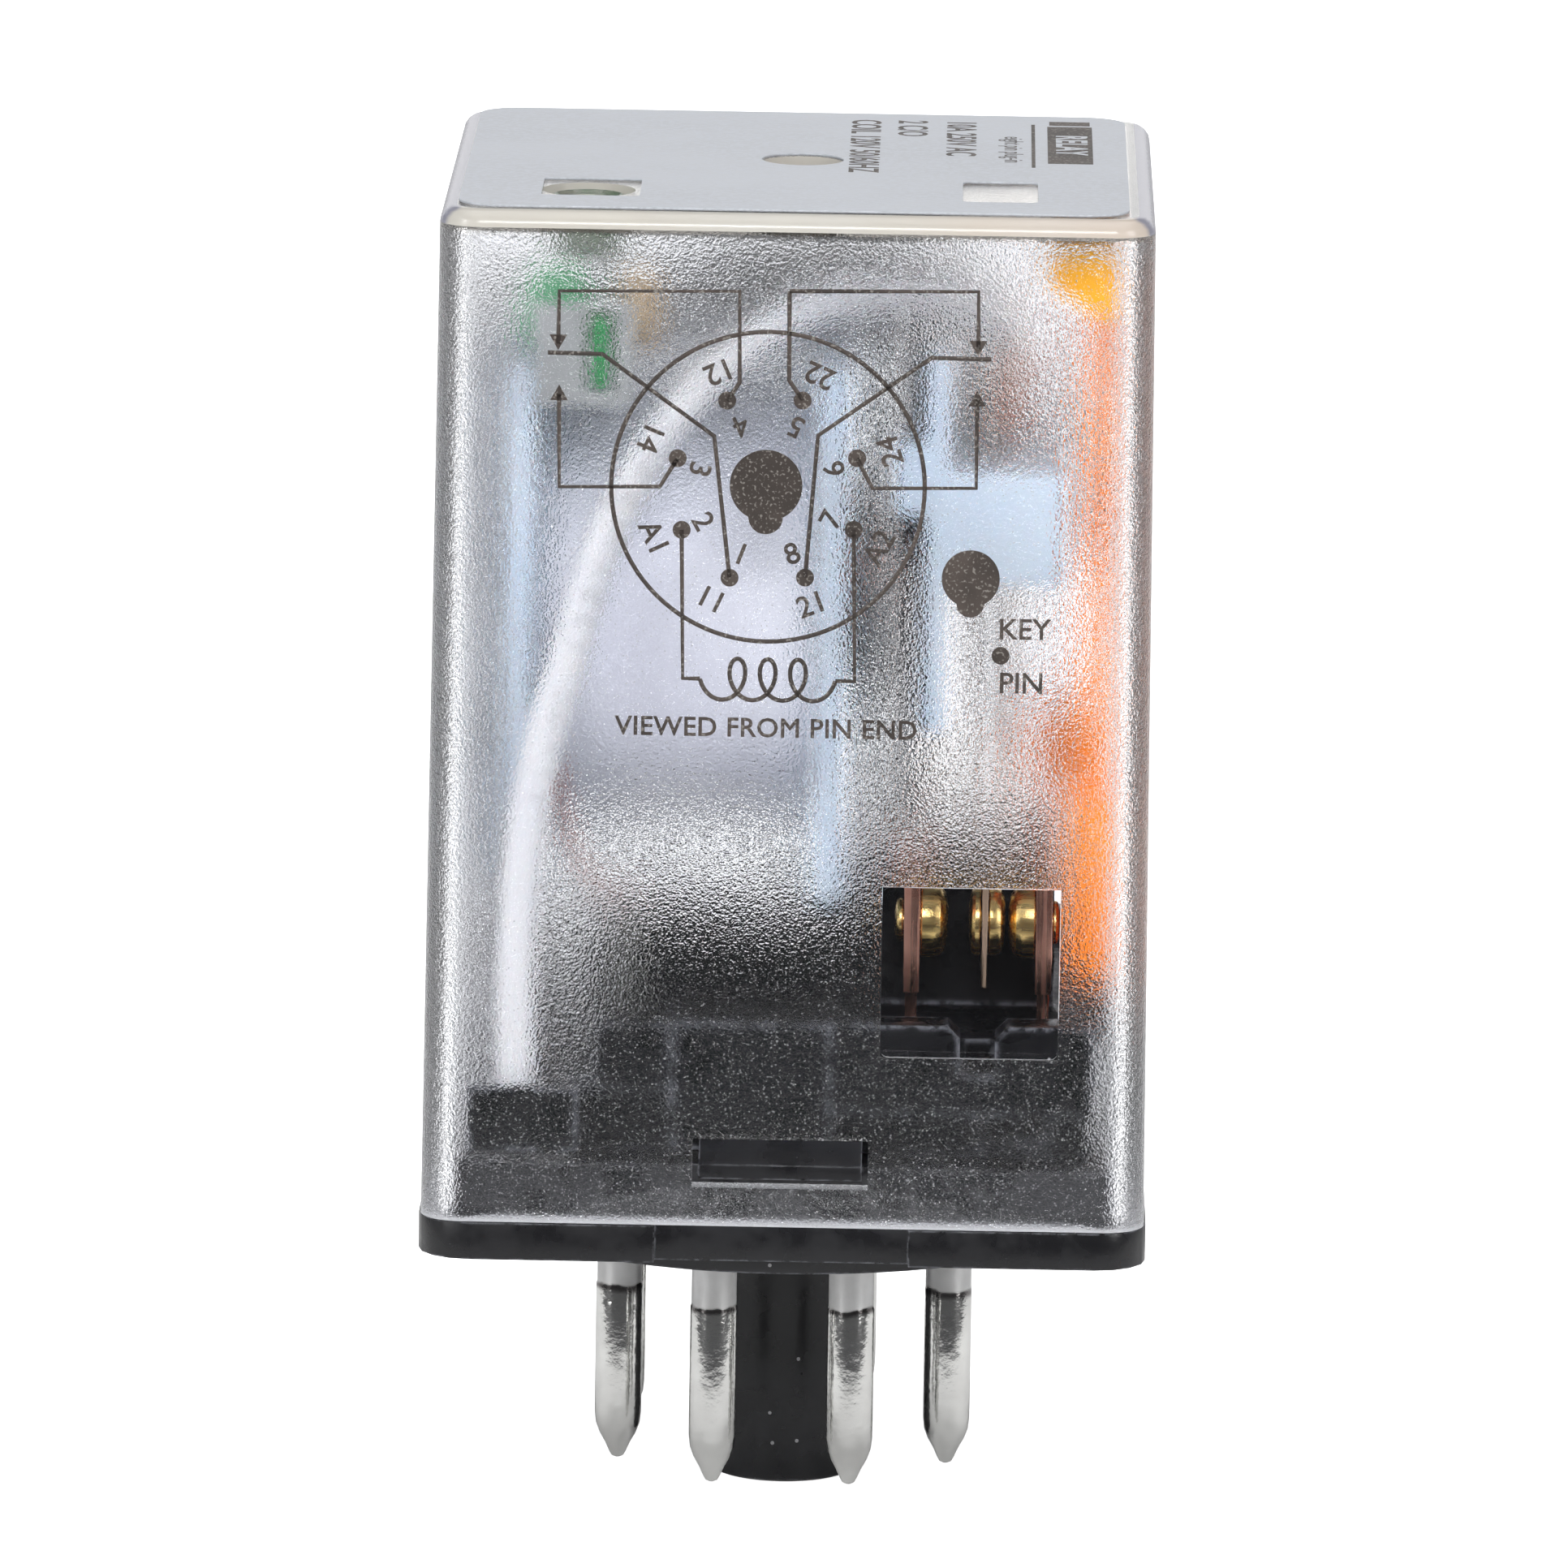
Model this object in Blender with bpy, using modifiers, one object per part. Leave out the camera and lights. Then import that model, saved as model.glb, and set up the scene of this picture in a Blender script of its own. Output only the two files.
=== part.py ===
"""Eight-pin plug-in relay: octal base, clear cover, hinged-armature motor and two change-over contacts.

All sizes below are in millimetres and become metres where meshes are made. +Z is up, +X is to the
right and -Y is the printed front. The origin is on the pin circle's axis, in the plane of the round
boss that seats on the socket.
"""
import math

import bmesh
import bpy
from mathutils import Matrix, Vector

MM = 0.001
PART_NAME = "plug_in_relay"

# Clearances
FIT_GAP = 0.3         # between pieces that sit in or on each other
SEAT_GAP = 0.1        # between flat faces that touch in use
RIVET_GAP = 0.05      # under a rivet head
OVERLAP = 0.2         # how far joined shapes run into each other
BEYOND = 2.0          # how far a cutter runs past a wall

# Base
FLANGE_SIDE = 35.0
FLANGE_BOTTOM = 0.8
FLANGE_TOP = 2.6
CORNER_RADIUS = 2.5
BOSS_RADIUS = 16.0
NOTCH_HALF_WIDTH = 6.1
NOTCH_DEPTH = 0.65
PLUG_HALF = 15.7
PLUG_TOP = 5.3
LATCH_WINDOW_X = (-4.34, 4.10)
LATCH_WINDOW_Z = (4.52, 6.91)

# Octal pins and the keyed post between them
PIN_COUNT = 8
PIN_CIRCLE_RADIUS = 8.73
PIN_RADIUS = 1.15
PIN_TIP_Z = -12.25
PIN_TOP_Z = 5.0
POST_RADIUS = 3.95
POST_TIP_Z = -13.35
KEY_WIDTH = 2.2
KEY_REACH = 5.1

# Cover and its printed film
COVER_BOTTOM = FLANGE_TOP + SEAT_GAP
COVER_TOP = 51.4
COVER_BOTTOM_SIDE = 34.8
COVER_TOP_SIDE = 34.0
COVER_WALL = 1.2
COVER_TOP_FILLET = 0.8
LABEL_TOP = 51.8
LABEL_THICKNESS = 0.25
LABEL_HALF_X = 15.95
LABEL_HALF_Y = 16.1
LABEL_CENTRE_X = -0.2
LABEL_CORNER = 2.0
CENTRE_HOLE_RADIUS = 2.0
LENS_CENTRE = (-10.1, -9.8)
LENS_RADIUS = 2.1
FLAG_WINDOW_X = (7.8, 11.4)
FLAG_WINDOW_Y = (-12.6, -6.0)
LAMP_WINDOW_X = (-12.3, -7.6)
LAMP_WINDOW_Y = (-12.6, -7.1)

# Magnet
COIL_Z = 30.6
COIL_RADIUS = 11.4
TAPE_THICKNESS = 0.5
LEFT_FLANGE_X = (-13.6, -12.4)
RIGHT_FLANGE_X = (1.2, 2.6)
BOBBIN_HALF = 13.0
CORE_RADIUS = 3.2
POLE_RADIUS = 4.6
POLE_FACE_X = 4.15
RIVET_RADIUS = 1.6
YOKE_LEFT = -15.5
YOKE_THICKNESS = 1.6
YOKE_BEND = 2.2
YOKE_HALF_WIDTH = 8.0
YOKE_TOP = 45.6
YOKE_RIGHT = 4.6

# Armature, hinged on the yoke's edge
HINGE_X = 4.75
HINGE_Z = 44.9
ARMATURE_X = (4.9, 6.0)
ARMATURE_HALF_WIDTH = 9.5
ARMATURE_BOTTOM = 21.2
ARMATURE_TOP = 45.0
SPRING_Y = 4.0
SPRING_Z = 47.4
SPRING_RADIUS = 1.1
SPRING_WIRE = 0.22
SPRING_TURNS = 9
TAB_HALF_WIDTH = 2.0
TAB_TOP = 48.3

# Contacts: one pole in front, one behind
POLE_Y = 8.5
CONTACT_Z = 16.1
BLADE_X = (9.35, 9.65)
BLADE_HALF_WIDTH = 2.5
BLADE_Z = (13.3, 44.5)
CARRIER_X = (6.3, 12.9)
CARRIER_Z = (33.5, 39.0)
CARRIER_HALF_WIDTH = 14.0
OPEN_POST_X = (5.6, 6.37)
CLOSED_POST_X = (11.98, 12.76)
POST_HALF_WIDTH = 1.9
POST_BOTTOM = 12.9
SHANK_RADIUS = 0.5
HEAD_RADIUS = 1.8
MOVING_HEAD_RADIUS = 1.65
TAIL_RADIUS = 1.05

# Contact block
BLOCK_BOTTOM = PLUG_TOP + FIT_GAP
BLOCK_TOP = 8.9
FLOOR_TOP = 11.1
FRONT_WALL_TOP = 12.3
BARRIER_HALF_WIDTH = 4.4
BARRIER_X = (-9.6, 3.2, 12.9)
BARRIER_TOPS = (15.4, 17.9)    # left and right of the middle x
LINK_RECESS = ((9.3, -15.0, 6.3), (12.7, -12.6, 7.7))
BLOCK_SHAPES = (    # name, low corner, high corner of what stands up at each side
    ("centre_boss", (-5.4, -15.2, 5.9), (2.35, -11.0, 12.2)),
    ("left_boss", (-9.14, -14.8, 8.7), (-5.2, -11.5, 12.0)),
    ("front_wall", (2.15, -15.4, 7.9), (14.8, -13.2, FRONT_WALL_TOP)),
    ("lead_guard", (-15.2, -15.95, 5.9), (-9.9, -15.35, 9.0)),
    ("guard_web", (-10.5, -15.6, 5.9), (-9.9, -13.8, 8.7)),
)

# Indicator lever
LEVER_PIVOT_X = 14.6
LEVER_PIVOT_Z = 12.5
LEVER_Y = (-10.0, -1.0)
LEVER_PIN_RADIUS = 0.4
FLAG_X = (12.1, 15.2)
FLAG_Z = (47.9, 49.2)
FLAG_Y = (-12.6, -6.0)
GUSSET_Z = 46.2        # foot of the slope under the flag

# White leads
LEAD_RADIUS = 1.0
LEAD_TAIL_RADIUS = 0.45
LEAD_ROUTE = (
    (-12.8, -13.9, 5.8), (-12.9, -14.1, 10.5), (-12.9, -14.4, 16.0), (-12.4, -14.5, 22.5),
    (-10.7, -14.5, 29.8), (-8.5, -14.3, 36.8), (-5.1, -13.2, 42.2), (-0.1, -11.3, 46.1),
    (3.8, -10.0, 47.0), (7.0, -9.2, 46.9), (9.4, -8.8, 46.0), (11.0, -8.6, 44.6),
)
LEAD_TAIL_ROUTE = ((11.15, -8.6, 44.2), (10.8, -8.6, 43.0), (10.45, -8.6, 41.8), (10.4, -8.6, 40.2))
COIL_LEAD_ROUTE = (
    (-7.6, -9.0, 17.2), (-8.6, -10.4, 17.6), (-10.2, -12.2, 19.6), (-11.0, -12.9, 23.0),
    (-11.3, -12.9, 27.0),
)

# Lamp
LAMP_CENTRE = (-11.4, -11.0)
LAMP_RADIUS = 1.5
LAMP_BOTTOM = 44.6
LAMP_TOP = 48.3
BOARD_SIZE = ((-9.6, -14.9, 42.9), (-9.0, -9.0, 46.2))
BRACKET_SIZE = ((-12.4, -14.4, 41.9), (-7.7, -13.9, 46.9))

SIDES = (("front", 1.0), ("rear", -1.0))    # the routes and places above are those in front


# ---------------------------------------------------------------- scene, collections, materials

def clear_scene():
    """Remove whatever objects the open file holds."""
    for obj in list(bpy.data.objects):
        bpy.data.objects.remove(obj, do_unlink=True)


def new_collection(name):
    """Collection linked to the scene."""
    collection = bpy.data.collections.new(name)
    bpy.context.scene.collection.children.link(collection)
    return collection


def plain_material(name, colour, roughness, metallic=0.0, transmission=0.0):
    """Principled material of one colour."""
    material = bpy.data.materials.new(name)
    material.use_nodes = True
    shader = material.node_tree.nodes["Principled BSDF"]
    shader.inputs["Base Color"].default_value = (*colour, 1.0)
    shader.inputs["Roughness"].default_value = roughness
    shader.inputs["Metallic"].default_value = metallic
    shader.inputs["Transmission Weight"].default_value = transmission
    material.diffuse_color = (*colour, 1.0)
    return material


def make_materials():
    """One material for each finish of the relay."""
    return {
        "clear": plain_material("clear_polycarbonate", (0.80, 0.81, 0.84), 0.25, transmission=0.9),
        "film": plain_material("silver_film", (0.68, 0.70, 0.73), 0.45),
        "black": plain_material("black_phenolic", (0.015, 0.015, 0.017), 0.4),
        "tin": plain_material("tinned_brass", (0.62, 0.62, 0.60), 0.25, 1.0),
        "nylon": plain_material("pale_blue_nylon", (0.62, 0.68, 0.74), 0.45),
        "copper": plain_material("bare_copper", (0.78, 0.40, 0.27), 0.3, 1.0),
        "enamel": plain_material("copper_winding", (0.55, 0.22, 0.08), 0.35, 0.6),
        "tape": plain_material("winding_tape", (0.72, 0.73, 0.80), 0.35),
        "steel": plain_material("nickel_plated_iron", (0.50, 0.50, 0.50), 0.3, 1.0),
        "spring": plain_material("spring_steel", (0.60, 0.60, 0.58), 0.25, 1.0),
        "bronze": plain_material("contact_spring_bronze", (0.62, 0.43, 0.28), 0.3, 1.0),
        "gold": plain_material("gilded_contact", (0.83, 0.62, 0.25), 0.2, 1.0),
        "orange": plain_material("orange_acetal", (0.95, 0.30, 0.03), 0.4),
        "white": plain_material("white_insulation", (0.85, 0.85, 0.84), 0.4),
        "red": plain_material("red_insulation", (0.50, 0.08, 0.05), 0.4),
        "green": plain_material("green_lamp", (0.08, 0.42, 0.16), 0.15, transmission=0.4),
        "board": plain_material("green_board", (0.05, 0.28, 0.12), 0.4),
        "grey": plain_material("grey_bracket", (0.55, 0.56, 0.57), 0.45),
        "beige": plain_material("resistor_body", (0.62, 0.50, 0.36), 0.5),
    }


# ---------------------------------------------------------------- solids

def place(name, mesh, location, collection, material=None):
    """Object for a mesh or curve, with its place in mm."""
    obj = bpy.data.objects.new(name, mesh)
    obj.location = Vector(location) * MM
    collection.objects.link(obj)
    if material:
        mesh.materials.append(material)
    return obj


def mesh_from(name, build):
    """Mesh filled by a function that is given an empty bmesh."""
    mesh = bpy.data.meshes.new(name)
    bm = bmesh.new()
    build(bm)
    bmesh.ops.recalc_face_normals(bm, faces=bm.faces)
    bm.to_mesh(mesh)
    bm.free()
    return mesh


def block(name, low, high, collection, material=None):
    """Box between two corners."""
    size = [(b - a) * MM for a, b in zip(low, high)]
    centre = [(a + b) / 2 for a, b in zip(low, high)]
    mesh = mesh_from(name, lambda bm: bmesh.ops.create_cube(bm, size=1.0, matrix=Matrix.Diagonal((*size, 1.0))))
    return place(name, mesh, centre, collection, material)


def round_edges(obj, width, segments=1):
    """Bevel every sharp edge."""
    modifier = obj.modifiers.new("round_edges", "BEVEL")
    modifier.width = width * MM
    modifier.segments = segments
    modifier.limit_method = "ANGLE"
    modifier.angle_limit = math.radians(40)


AXIS_TURN = {
    "X": Matrix.Rotation(math.radians(90), 4, "Y"),
    "Y": Matrix.Rotation(math.radians(-90), 4, "X"),
    "Z": Matrix.Identity(4),
}


def rod(name, centre, radius, length, axis, collection, material=None, sides=24):
    """Plain cylinder along a world axis."""
    def build(bm):
        bmesh.ops.create_cone(bm, cap_ends=True, segments=sides, radius1=radius * MM, radius2=radius * MM,
                              depth=length * MM, matrix=AXIS_TURN[axis])
    obj = place(name, mesh_from(name, build), centre, collection, material)
    smooth(obj)
    return obj


def turned(name, profile, centre, axis, collection, material, steps=24):
    """Turned solid: profile of (radius, height) points from top to bottom along a world axis."""
    mesh = bpy.data.meshes.new(name)
    points = [(radius * MM, 0.0, height * MM) for radius, height in profile]
    mesh.from_pydata(points, [(i, i + 1) for i in range(len(points) - 1)], [])
    obj = place(name, mesh, centre, collection, material)
    obj.rotation_euler = AXIS_TURN[axis].to_euler()
    screw = obj.modifiers.new("turn", "SCREW")
    screw.steps = screw.render_steps = steps
    screw.use_merge_vertices = True
    screw.merge_threshold = 0.00001
    screw.use_smooth_shade = True
    return obj


def closed_ring_profile(inner, outer, low, high):
    """Closed profile of a plain ring, outer side first and from top to bottom."""
    return [(outer, high), (outer, low), (inner, low), (inner, high), (outer, high)]


def rounded_rectangle(half_x, half_y, radius, centre=(0.0, 0.0), arc_steps=4):
    """Outline of a rectangle with round corners, counter-clockwise."""
    points = []
    for quarter, (sx, sy) in enumerate(((1, 1), (-1, 1), (-1, -1), (1, -1))):
        for step in range(arc_steps + 1):
            angle = math.radians(90) * (quarter + step / arc_steps)
            points.append((centre[0] + sx * (half_x - radius) + radius * math.cos(angle),
                           centre[1] + sy * (half_y - radius) + radius * math.sin(angle)))
    return points


def circle(radius, centre=(0.0, 0.0), steps=24):
    """Outline of a circle."""
    turns = [math.tau * step / steps for step in range(steps)]
    return [(centre[0] + radius * math.cos(a), centre[1] + radius * math.sin(a)) for a in turns]


def plate(name, outlines, thickness, centre, collection, material=None, turn=None):
    """Flat plate from an outer outline and any holes, made a mesh; its outlines lie in local XY."""
    curve = bpy.data.curves.new(name, "CURVE")
    curve.dimensions = "2D"
    curve.fill_mode = "BOTH"
    curve.extrude = thickness / 2 * MM
    for outline in outlines:
        spline = curve.splines.new("POLY")
        spline.points.add(len(outline) - 1)
        for point, (x, y) in zip(spline.points, outline):
            point.co = (x * MM, y * MM, 0.0, 1.0)
        spline.use_cyclic_u = True
    drawn = place(name + "_outline", curve, centre, collection)
    if turn:
        drawn.rotation_euler = turn
    return as_mesh(drawn, name, collection, material)


def as_mesh(drawn, name, collection, material):
    """Replace a curve object by its mesh, welded shut."""
    bpy.context.view_layer.update()
    evaluated = drawn.evaluated_get(bpy.context.evaluated_depsgraph_get())
    mesh = bpy.data.meshes.new_from_object(evaluated)
    mesh.name = name
    bm = bmesh.new()
    bm.from_mesh(mesh)
    bmesh.ops.remove_doubles(bm, verts=bm.verts, dist=0.000001)
    bmesh.ops.recalc_face_normals(bm, faces=bm.faces)
    bm.to_mesh(mesh)
    bm.free()
    mesh.materials.clear()
    obj = place(name, mesh, (0.0, 0.0, 0.0), collection, material)
    obj.matrix_world = drawn.matrix_world.copy()
    bpy.data.objects.remove(drawn, do_unlink=True)
    return obj


def smooth(obj):
    """Smooth shading with sharp edges kept."""
    obj.data.shade_smooth()
    obj.data.set_sharp_from_angle(angle=math.radians(35))


def smooth_route(route, spacing):
    """Points about spacing apart on a Catmull-Rom curve through the route's points."""
    knots = [Vector(point) for point in route]
    knots = [2 * knots[0] - knots[1], *knots, 2 * knots[-1] - knots[-2]]
    points = []
    for a, b, c, d in zip(knots, knots[1:], knots[2:], knots[3:]):
        steps = max(1, round((c - b).length / spacing))
        for step in range(steps):
            t = step / steps
            points.append(0.5 * (2 * b + (c - a) * t + (2 * a - 5 * b + 4 * c - d) * t ** 2
                                 + (3 * b - a - 3 * c + d) * t ** 3))
    return points + [knots[-2]]


def wire(name, points, radius, collection, material):
    """Round wire through points, with filled ends."""
    curve = bpy.data.curves.new(name, "CURVE")
    curve.dimensions = "3D"
    curve.bevel_depth = radius * MM
    curve.bevel_resolution = 2
    curve.use_fill_caps = True
    spline = curve.splines.new("POLY")
    spline.points.add(len(points) - 1)
    for knot, point in zip(spline.points, points):
        knot.co = (point[0] * MM, point[1] * MM, point[2] * MM, 1.0)
    return place(name, curve, (0.0, 0.0, 0.0), collection, material)


def tool(obj):
    """Mark an object as a cutter or a shape to join, which isn't a piece of its own."""
    obj.hide_render = True
    obj.display_type = "WIRE"
    return obj


def combine(obj, other, operation):
    """Boolean of two objects."""
    modifier = obj.modifiers.new(operation.lower(), "BOOLEAN")
    modifier.operation = operation
    modifier.object = tool(other)


def cut(obj, *cutters):
    """Remove each cutter from an object."""
    for cutter in cutters:
        combine(obj, cutter, "DIFFERENCE")


def join(obj, *others):
    """Unite each shape with an object."""
    for other in others:
        combine(obj, other, "UNION")


def mirrored(low, high, side):
    """Box corners, reflected to the rear when side is -1."""
    if side > 0:
        return low, high
    return (low[0], -high[1], low[2]), (high[0], -low[1], high[2])


# ---------------------------------------------------------------- base and pins

def pin_places():
    """Centres of the eight pins."""
    for index in range(PIN_COUNT):
        angle = math.tau * (index + 0.5) / PIN_COUNT
        yield PIN_CIRCLE_RADIUS * math.cos(angle), PIN_CIRCLE_RADIUS * math.sin(angle)


def make_base(parts, tools, material):
    """Flange, seating boss, keyed post, plug inside the cover, and two latch wedges."""
    thickness = FLANGE_TOP - FLANGE_BOTTOM
    base = plate("base", [rounded_rectangle(FLANGE_SIDE / 2, FLANGE_SIDE / 2, CORNER_RADIUS)], thickness,
                 (0.0, 0.0, FLANGE_BOTTOM + thickness / 2), parts, material)
    boss_top = FLANGE_BOTTOM + OVERLAP
    join(base, rod("boss", (0.0, 0.0, boss_top / 2), BOSS_RADIUS, boss_top, "Z", tools, sides=64))
    post_length = boss_top - POST_TIP_Z
    post = rod("key_post", (0.0, 0.0, boss_top - post_length / 2), POST_RADIUS, post_length, "Z", tools, sides=40)
    round_edges(post, 0.5, 2)
    key = block("key", (-KEY_WIDTH / 2, POST_RADIUS - 1.0, POST_TIP_Z + 0.9), (KEY_WIDTH / 2, KEY_REACH, boss_top),
                tools)
    plug = block("plug", (-PLUG_HALF, -PLUG_HALF, FLANGE_TOP - OVERLAP), (PLUG_HALF, PLUG_HALF, PLUG_TOP), tools)
    join(base, post, key, plug)
    for side_name, side in SIDES:
        join(base, make_latch(side_name, side, tools))
        low, high = mirrored((-NOTCH_HALF_WIDTH, -FLANGE_SIDE / 2 - BEYOND, -OVERLAP),
                             (NOTCH_HALF_WIDTH, -FLANGE_SIDE / 2 + NOTCH_DEPTH, FLANGE_TOP + OVERLAP), side)
        cut(base, block("flange_notch_" + side_name, low, high, tools))
    for index, (x, y) in enumerate(pin_places(), 1):
        cut(base, rod(f"pin_hole_{index}", (x, y, PLUG_TOP / 2), PIN_RADIUS + FIT_GAP, PLUG_TOP + BEYOND, "Z",
                      tools, sides=16))


def make_latch(side_name, side, tools):
    """Wedge that snaps into the cover's window."""
    root_y = -PLUG_HALF + OVERLAP
    nose_y = -COVER_BOTTOM_SIDE / 2 + 0.6
    bottom = LATCH_WINDOW_Z[0] + FIT_GAP
    top = LATCH_WINDOW_Z[1] - FIT_GAP
    outline = [(root_y, bottom), (nose_y, bottom), (nose_y, bottom + 0.7), (root_y, top)]
    width = LATCH_WINDOW_X[1] - LATCH_WINDOW_X[0] - 2 * FIT_GAP
    middle = sum(LATCH_WINDOW_X) / 2
    if side < 0:
        outline = [(-y, z) for y, z in reversed(outline)]
    return plate("latch_" + side_name, [outline], width, (middle, 0.0, 0.0), tools,
                 turn=(math.radians(90), 0.0, math.radians(90)))


def make_pins(parts, material):
    """Eight pins with blunt conical tips."""
    profile = [(0.0, PIN_TOP_Z), (PIN_RADIUS, PIN_TOP_Z), (PIN_RADIUS, PIN_TIP_Z + 2.1),
               (PIN_RADIUS * 0.82, PIN_TIP_Z + 1.1), (0.35, PIN_TIP_Z + 0.12), (0.0, PIN_TIP_Z)]
    for index, (x, y) in enumerate(pin_places(), 1):
        turned(f"pin_{index}", profile, (x, y, 0.0), "Z", parts, material, steps=16)


# ---------------------------------------------------------------- cover

def cover_half_side(height):
    """Half the cover's width at a height: its walls lean in a little."""
    share = (height - COVER_BOTTOM) / (COVER_TOP - COVER_BOTTOM)
    return (COVER_BOTTOM_SIDE + share * (COVER_TOP_SIDE - COVER_BOTTOM_SIDE)) / 2


def tapered_box(bm):
    """Closed box with the cover's outer slopes and round corners, without its bottom face."""
    height = (COVER_TOP - COVER_BOTTOM) * MM
    bmesh.ops.create_cube(bm, size=1.0, matrix=Matrix.Diagonal((COVER_BOTTOM_SIDE * MM, COVER_BOTTOM_SIDE * MM,
                                                                height, 1.0)))
    top = [vert for vert in bm.verts if vert.co.z > 0]
    bmesh.ops.scale(bm, vec=(COVER_TOP_SIDE / COVER_BOTTOM_SIDE,) * 2 + (1.0,), verts=top)
    upright = [edge for edge in bm.edges if abs(edge.verts[0].co.z - edge.verts[1].co.z) > height / 2]
    bmesh.ops.bevel(bm, geom=upright, offset=CORNER_RADIUS * MM, offset_type="OFFSET", segments=4, profile=0.5,
                    affect="EDGES")
    rim = [edge for edge in bm.edges if all(vert.co.z > height * 0.49 for vert in edge.verts)]
    bmesh.ops.bevel(bm, geom=rim, offset=COVER_TOP_FILLET * MM, offset_type="OFFSET", segments=2, profile=0.5,
                    affect="EDGES")
    floor = [face for face in bm.faces if all(vert.co.z < -height * 0.49 for vert in face.verts)]
    bmesh.ops.delete(bm, geom=floor, context="FACES_ONLY")


def make_cover(parts, tools, material):
    """Clear cover, open below, with two latch windows, the lens seat and the centre hole."""
    cover = place("cover", mesh_from("cover", tapered_box), (0.0, 0.0, (COVER_TOP + COVER_BOTTOM) / 2), parts,
                  material)
    smooth(cover)
    wall = cover.modifiers.new("wall", "SOLIDIFY")
    wall.thickness = COVER_WALL * MM
    wall.offset = -1.0
    wall.use_even_offset = True
    for side_name, side in SIDES:
        low, high = mirrored((LATCH_WINDOW_X[0], -COVER_BOTTOM_SIDE / 2 - BEYOND, LATCH_WINDOW_Z[0]),
                             (LATCH_WINDOW_X[1], -COVER_BOTTOM_SIDE / 2 + COVER_WALL + BEYOND,
                              LATCH_WINDOW_Z[1]), side)
        cut(cover, block("latch_window_" + side_name, low, high, tools))
    cut(cover,
        rod("centre_hole", (0.0, 0.3, COVER_TOP), CENTRE_HOLE_RADIUS, 2 * BEYOND + COVER_WALL, "Z", tools),
        rod("lens_seat", (*LENS_CENTRE, COVER_TOP), LENS_RADIUS + FIT_GAP, 2 * BEYOND + COVER_WALL, "Z", tools))


def make_label(parts, material):
    """Printed film on top, with a lamp window, a flag window and the centre hole."""
    def window(xs, ys):
        centre = (sum(xs) / 2 - LABEL_CENTRE_X, sum(ys) / 2)
        return rounded_rectangle((xs[1] - xs[0]) / 2, (ys[1] - ys[0]) / 2, 0.3, centre, arc_steps=2)
    outlines = [
        rounded_rectangle(LABEL_HALF_X, LABEL_HALF_Y, LABEL_CORNER),
        window(LAMP_WINDOW_X, LAMP_WINDOW_Y),
        window(FLAG_WINDOW_X, FLAG_WINDOW_Y),
        circle(CENTRE_HOLE_RADIUS, (-LABEL_CENTRE_X, 0.3)),
    ]
    plate("cover_label", outlines, LABEL_THICKNESS, (LABEL_CENTRE_X, 0.0, LABEL_TOP - LABEL_THICKNESS / 2), parts,
          material)


# ---------------------------------------------------------------- contact block

def make_contact_block(parts, tools, material):
    """Black moulding that holds the fixed contacts, the lever's bearings and the wall between the poles."""
    moulding = block("contact_block", (-10.4, -14.0, BLOCK_BOTTOM), (14.8, 14.0, BLOCK_TOP), parts, material)
    sunk = BLOCK_TOP - OVERLAP
    left, middle, right = BARRIER_X
    join(moulding,
         block("contact_floor", (2.6, -13.4, sunk), (15.0, 13.4, FLOOR_TOP), tools),
         block("left_barrier", (left, -BARRIER_HALF_WIDTH, sunk), (middle + OVERLAP, BARRIER_HALF_WIDTH,
                                                                  BARRIER_TOPS[0]), tools),
         block("right_barrier", (middle, -BARRIER_HALF_WIDTH, sunk), (right, BARRIER_HALF_WIDTH,
                                                                     BARRIER_TOPS[1]), tools))
    for side_name, side in SIDES:
        for name, low, high in BLOCK_SHAPES:
            join(moulding, block(f"{name}_{side_name}", *mirrored(low, high, side), tools))
        cut(moulding, contact_slot(side_name, side, tools),
            block("link_recess_" + side_name, *mirrored(*LINK_RECESS, side), tools))
    bearing_cut = rod("bearing_bore", (LEVER_PIVOT_X, sum(LEVER_Y) / 2, LEVER_PIVOT_Z), LEVER_PIN_RADIUS + FIT_GAP,
                      LEVER_Y[1] - LEVER_Y[0] + 6.0, "Y", tools, sides=16)
    for name, near, far in (("front_bearing", LEVER_Y[0] - 1.6, LEVER_Y[0] - FIT_GAP),
                            ("rear_bearing", LEVER_Y[1] + FIT_GAP, LEVER_Y[1] + 1.6)):
        join(moulding, block(name, (LEVER_PIVOT_X - 0.9, near, FLOOR_TOP - OVERLAP),
                             (LEVER_PIVOT_X + 0.9, far, LEVER_PIVOT_Z + 1.1), tools))
    cut(moulding, bearing_cut)


def contact_slot(side_name, side, tools):
    """Slot in the low wall in front of the contacts, wider at its mouth."""
    left, right = 8.41, 10.07
    mouth = 0.6
    top, bottom = FRONT_WALL_TOP, 9.9
    outline = [(left, bottom), (right, bottom), (right, top - mouth),
               (right + mouth + 0.5, top + 0.5), (left - mouth - 0.5, top + 0.5), (left, top - mouth)]
    return plate("contact_slot_" + side_name, [outline], 4.0, (0.0, -14.5 * side, 0.0), tools,
                 turn=(math.radians(90), 0.0, 0.0))


# ---------------------------------------------------------------- magnet

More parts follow.
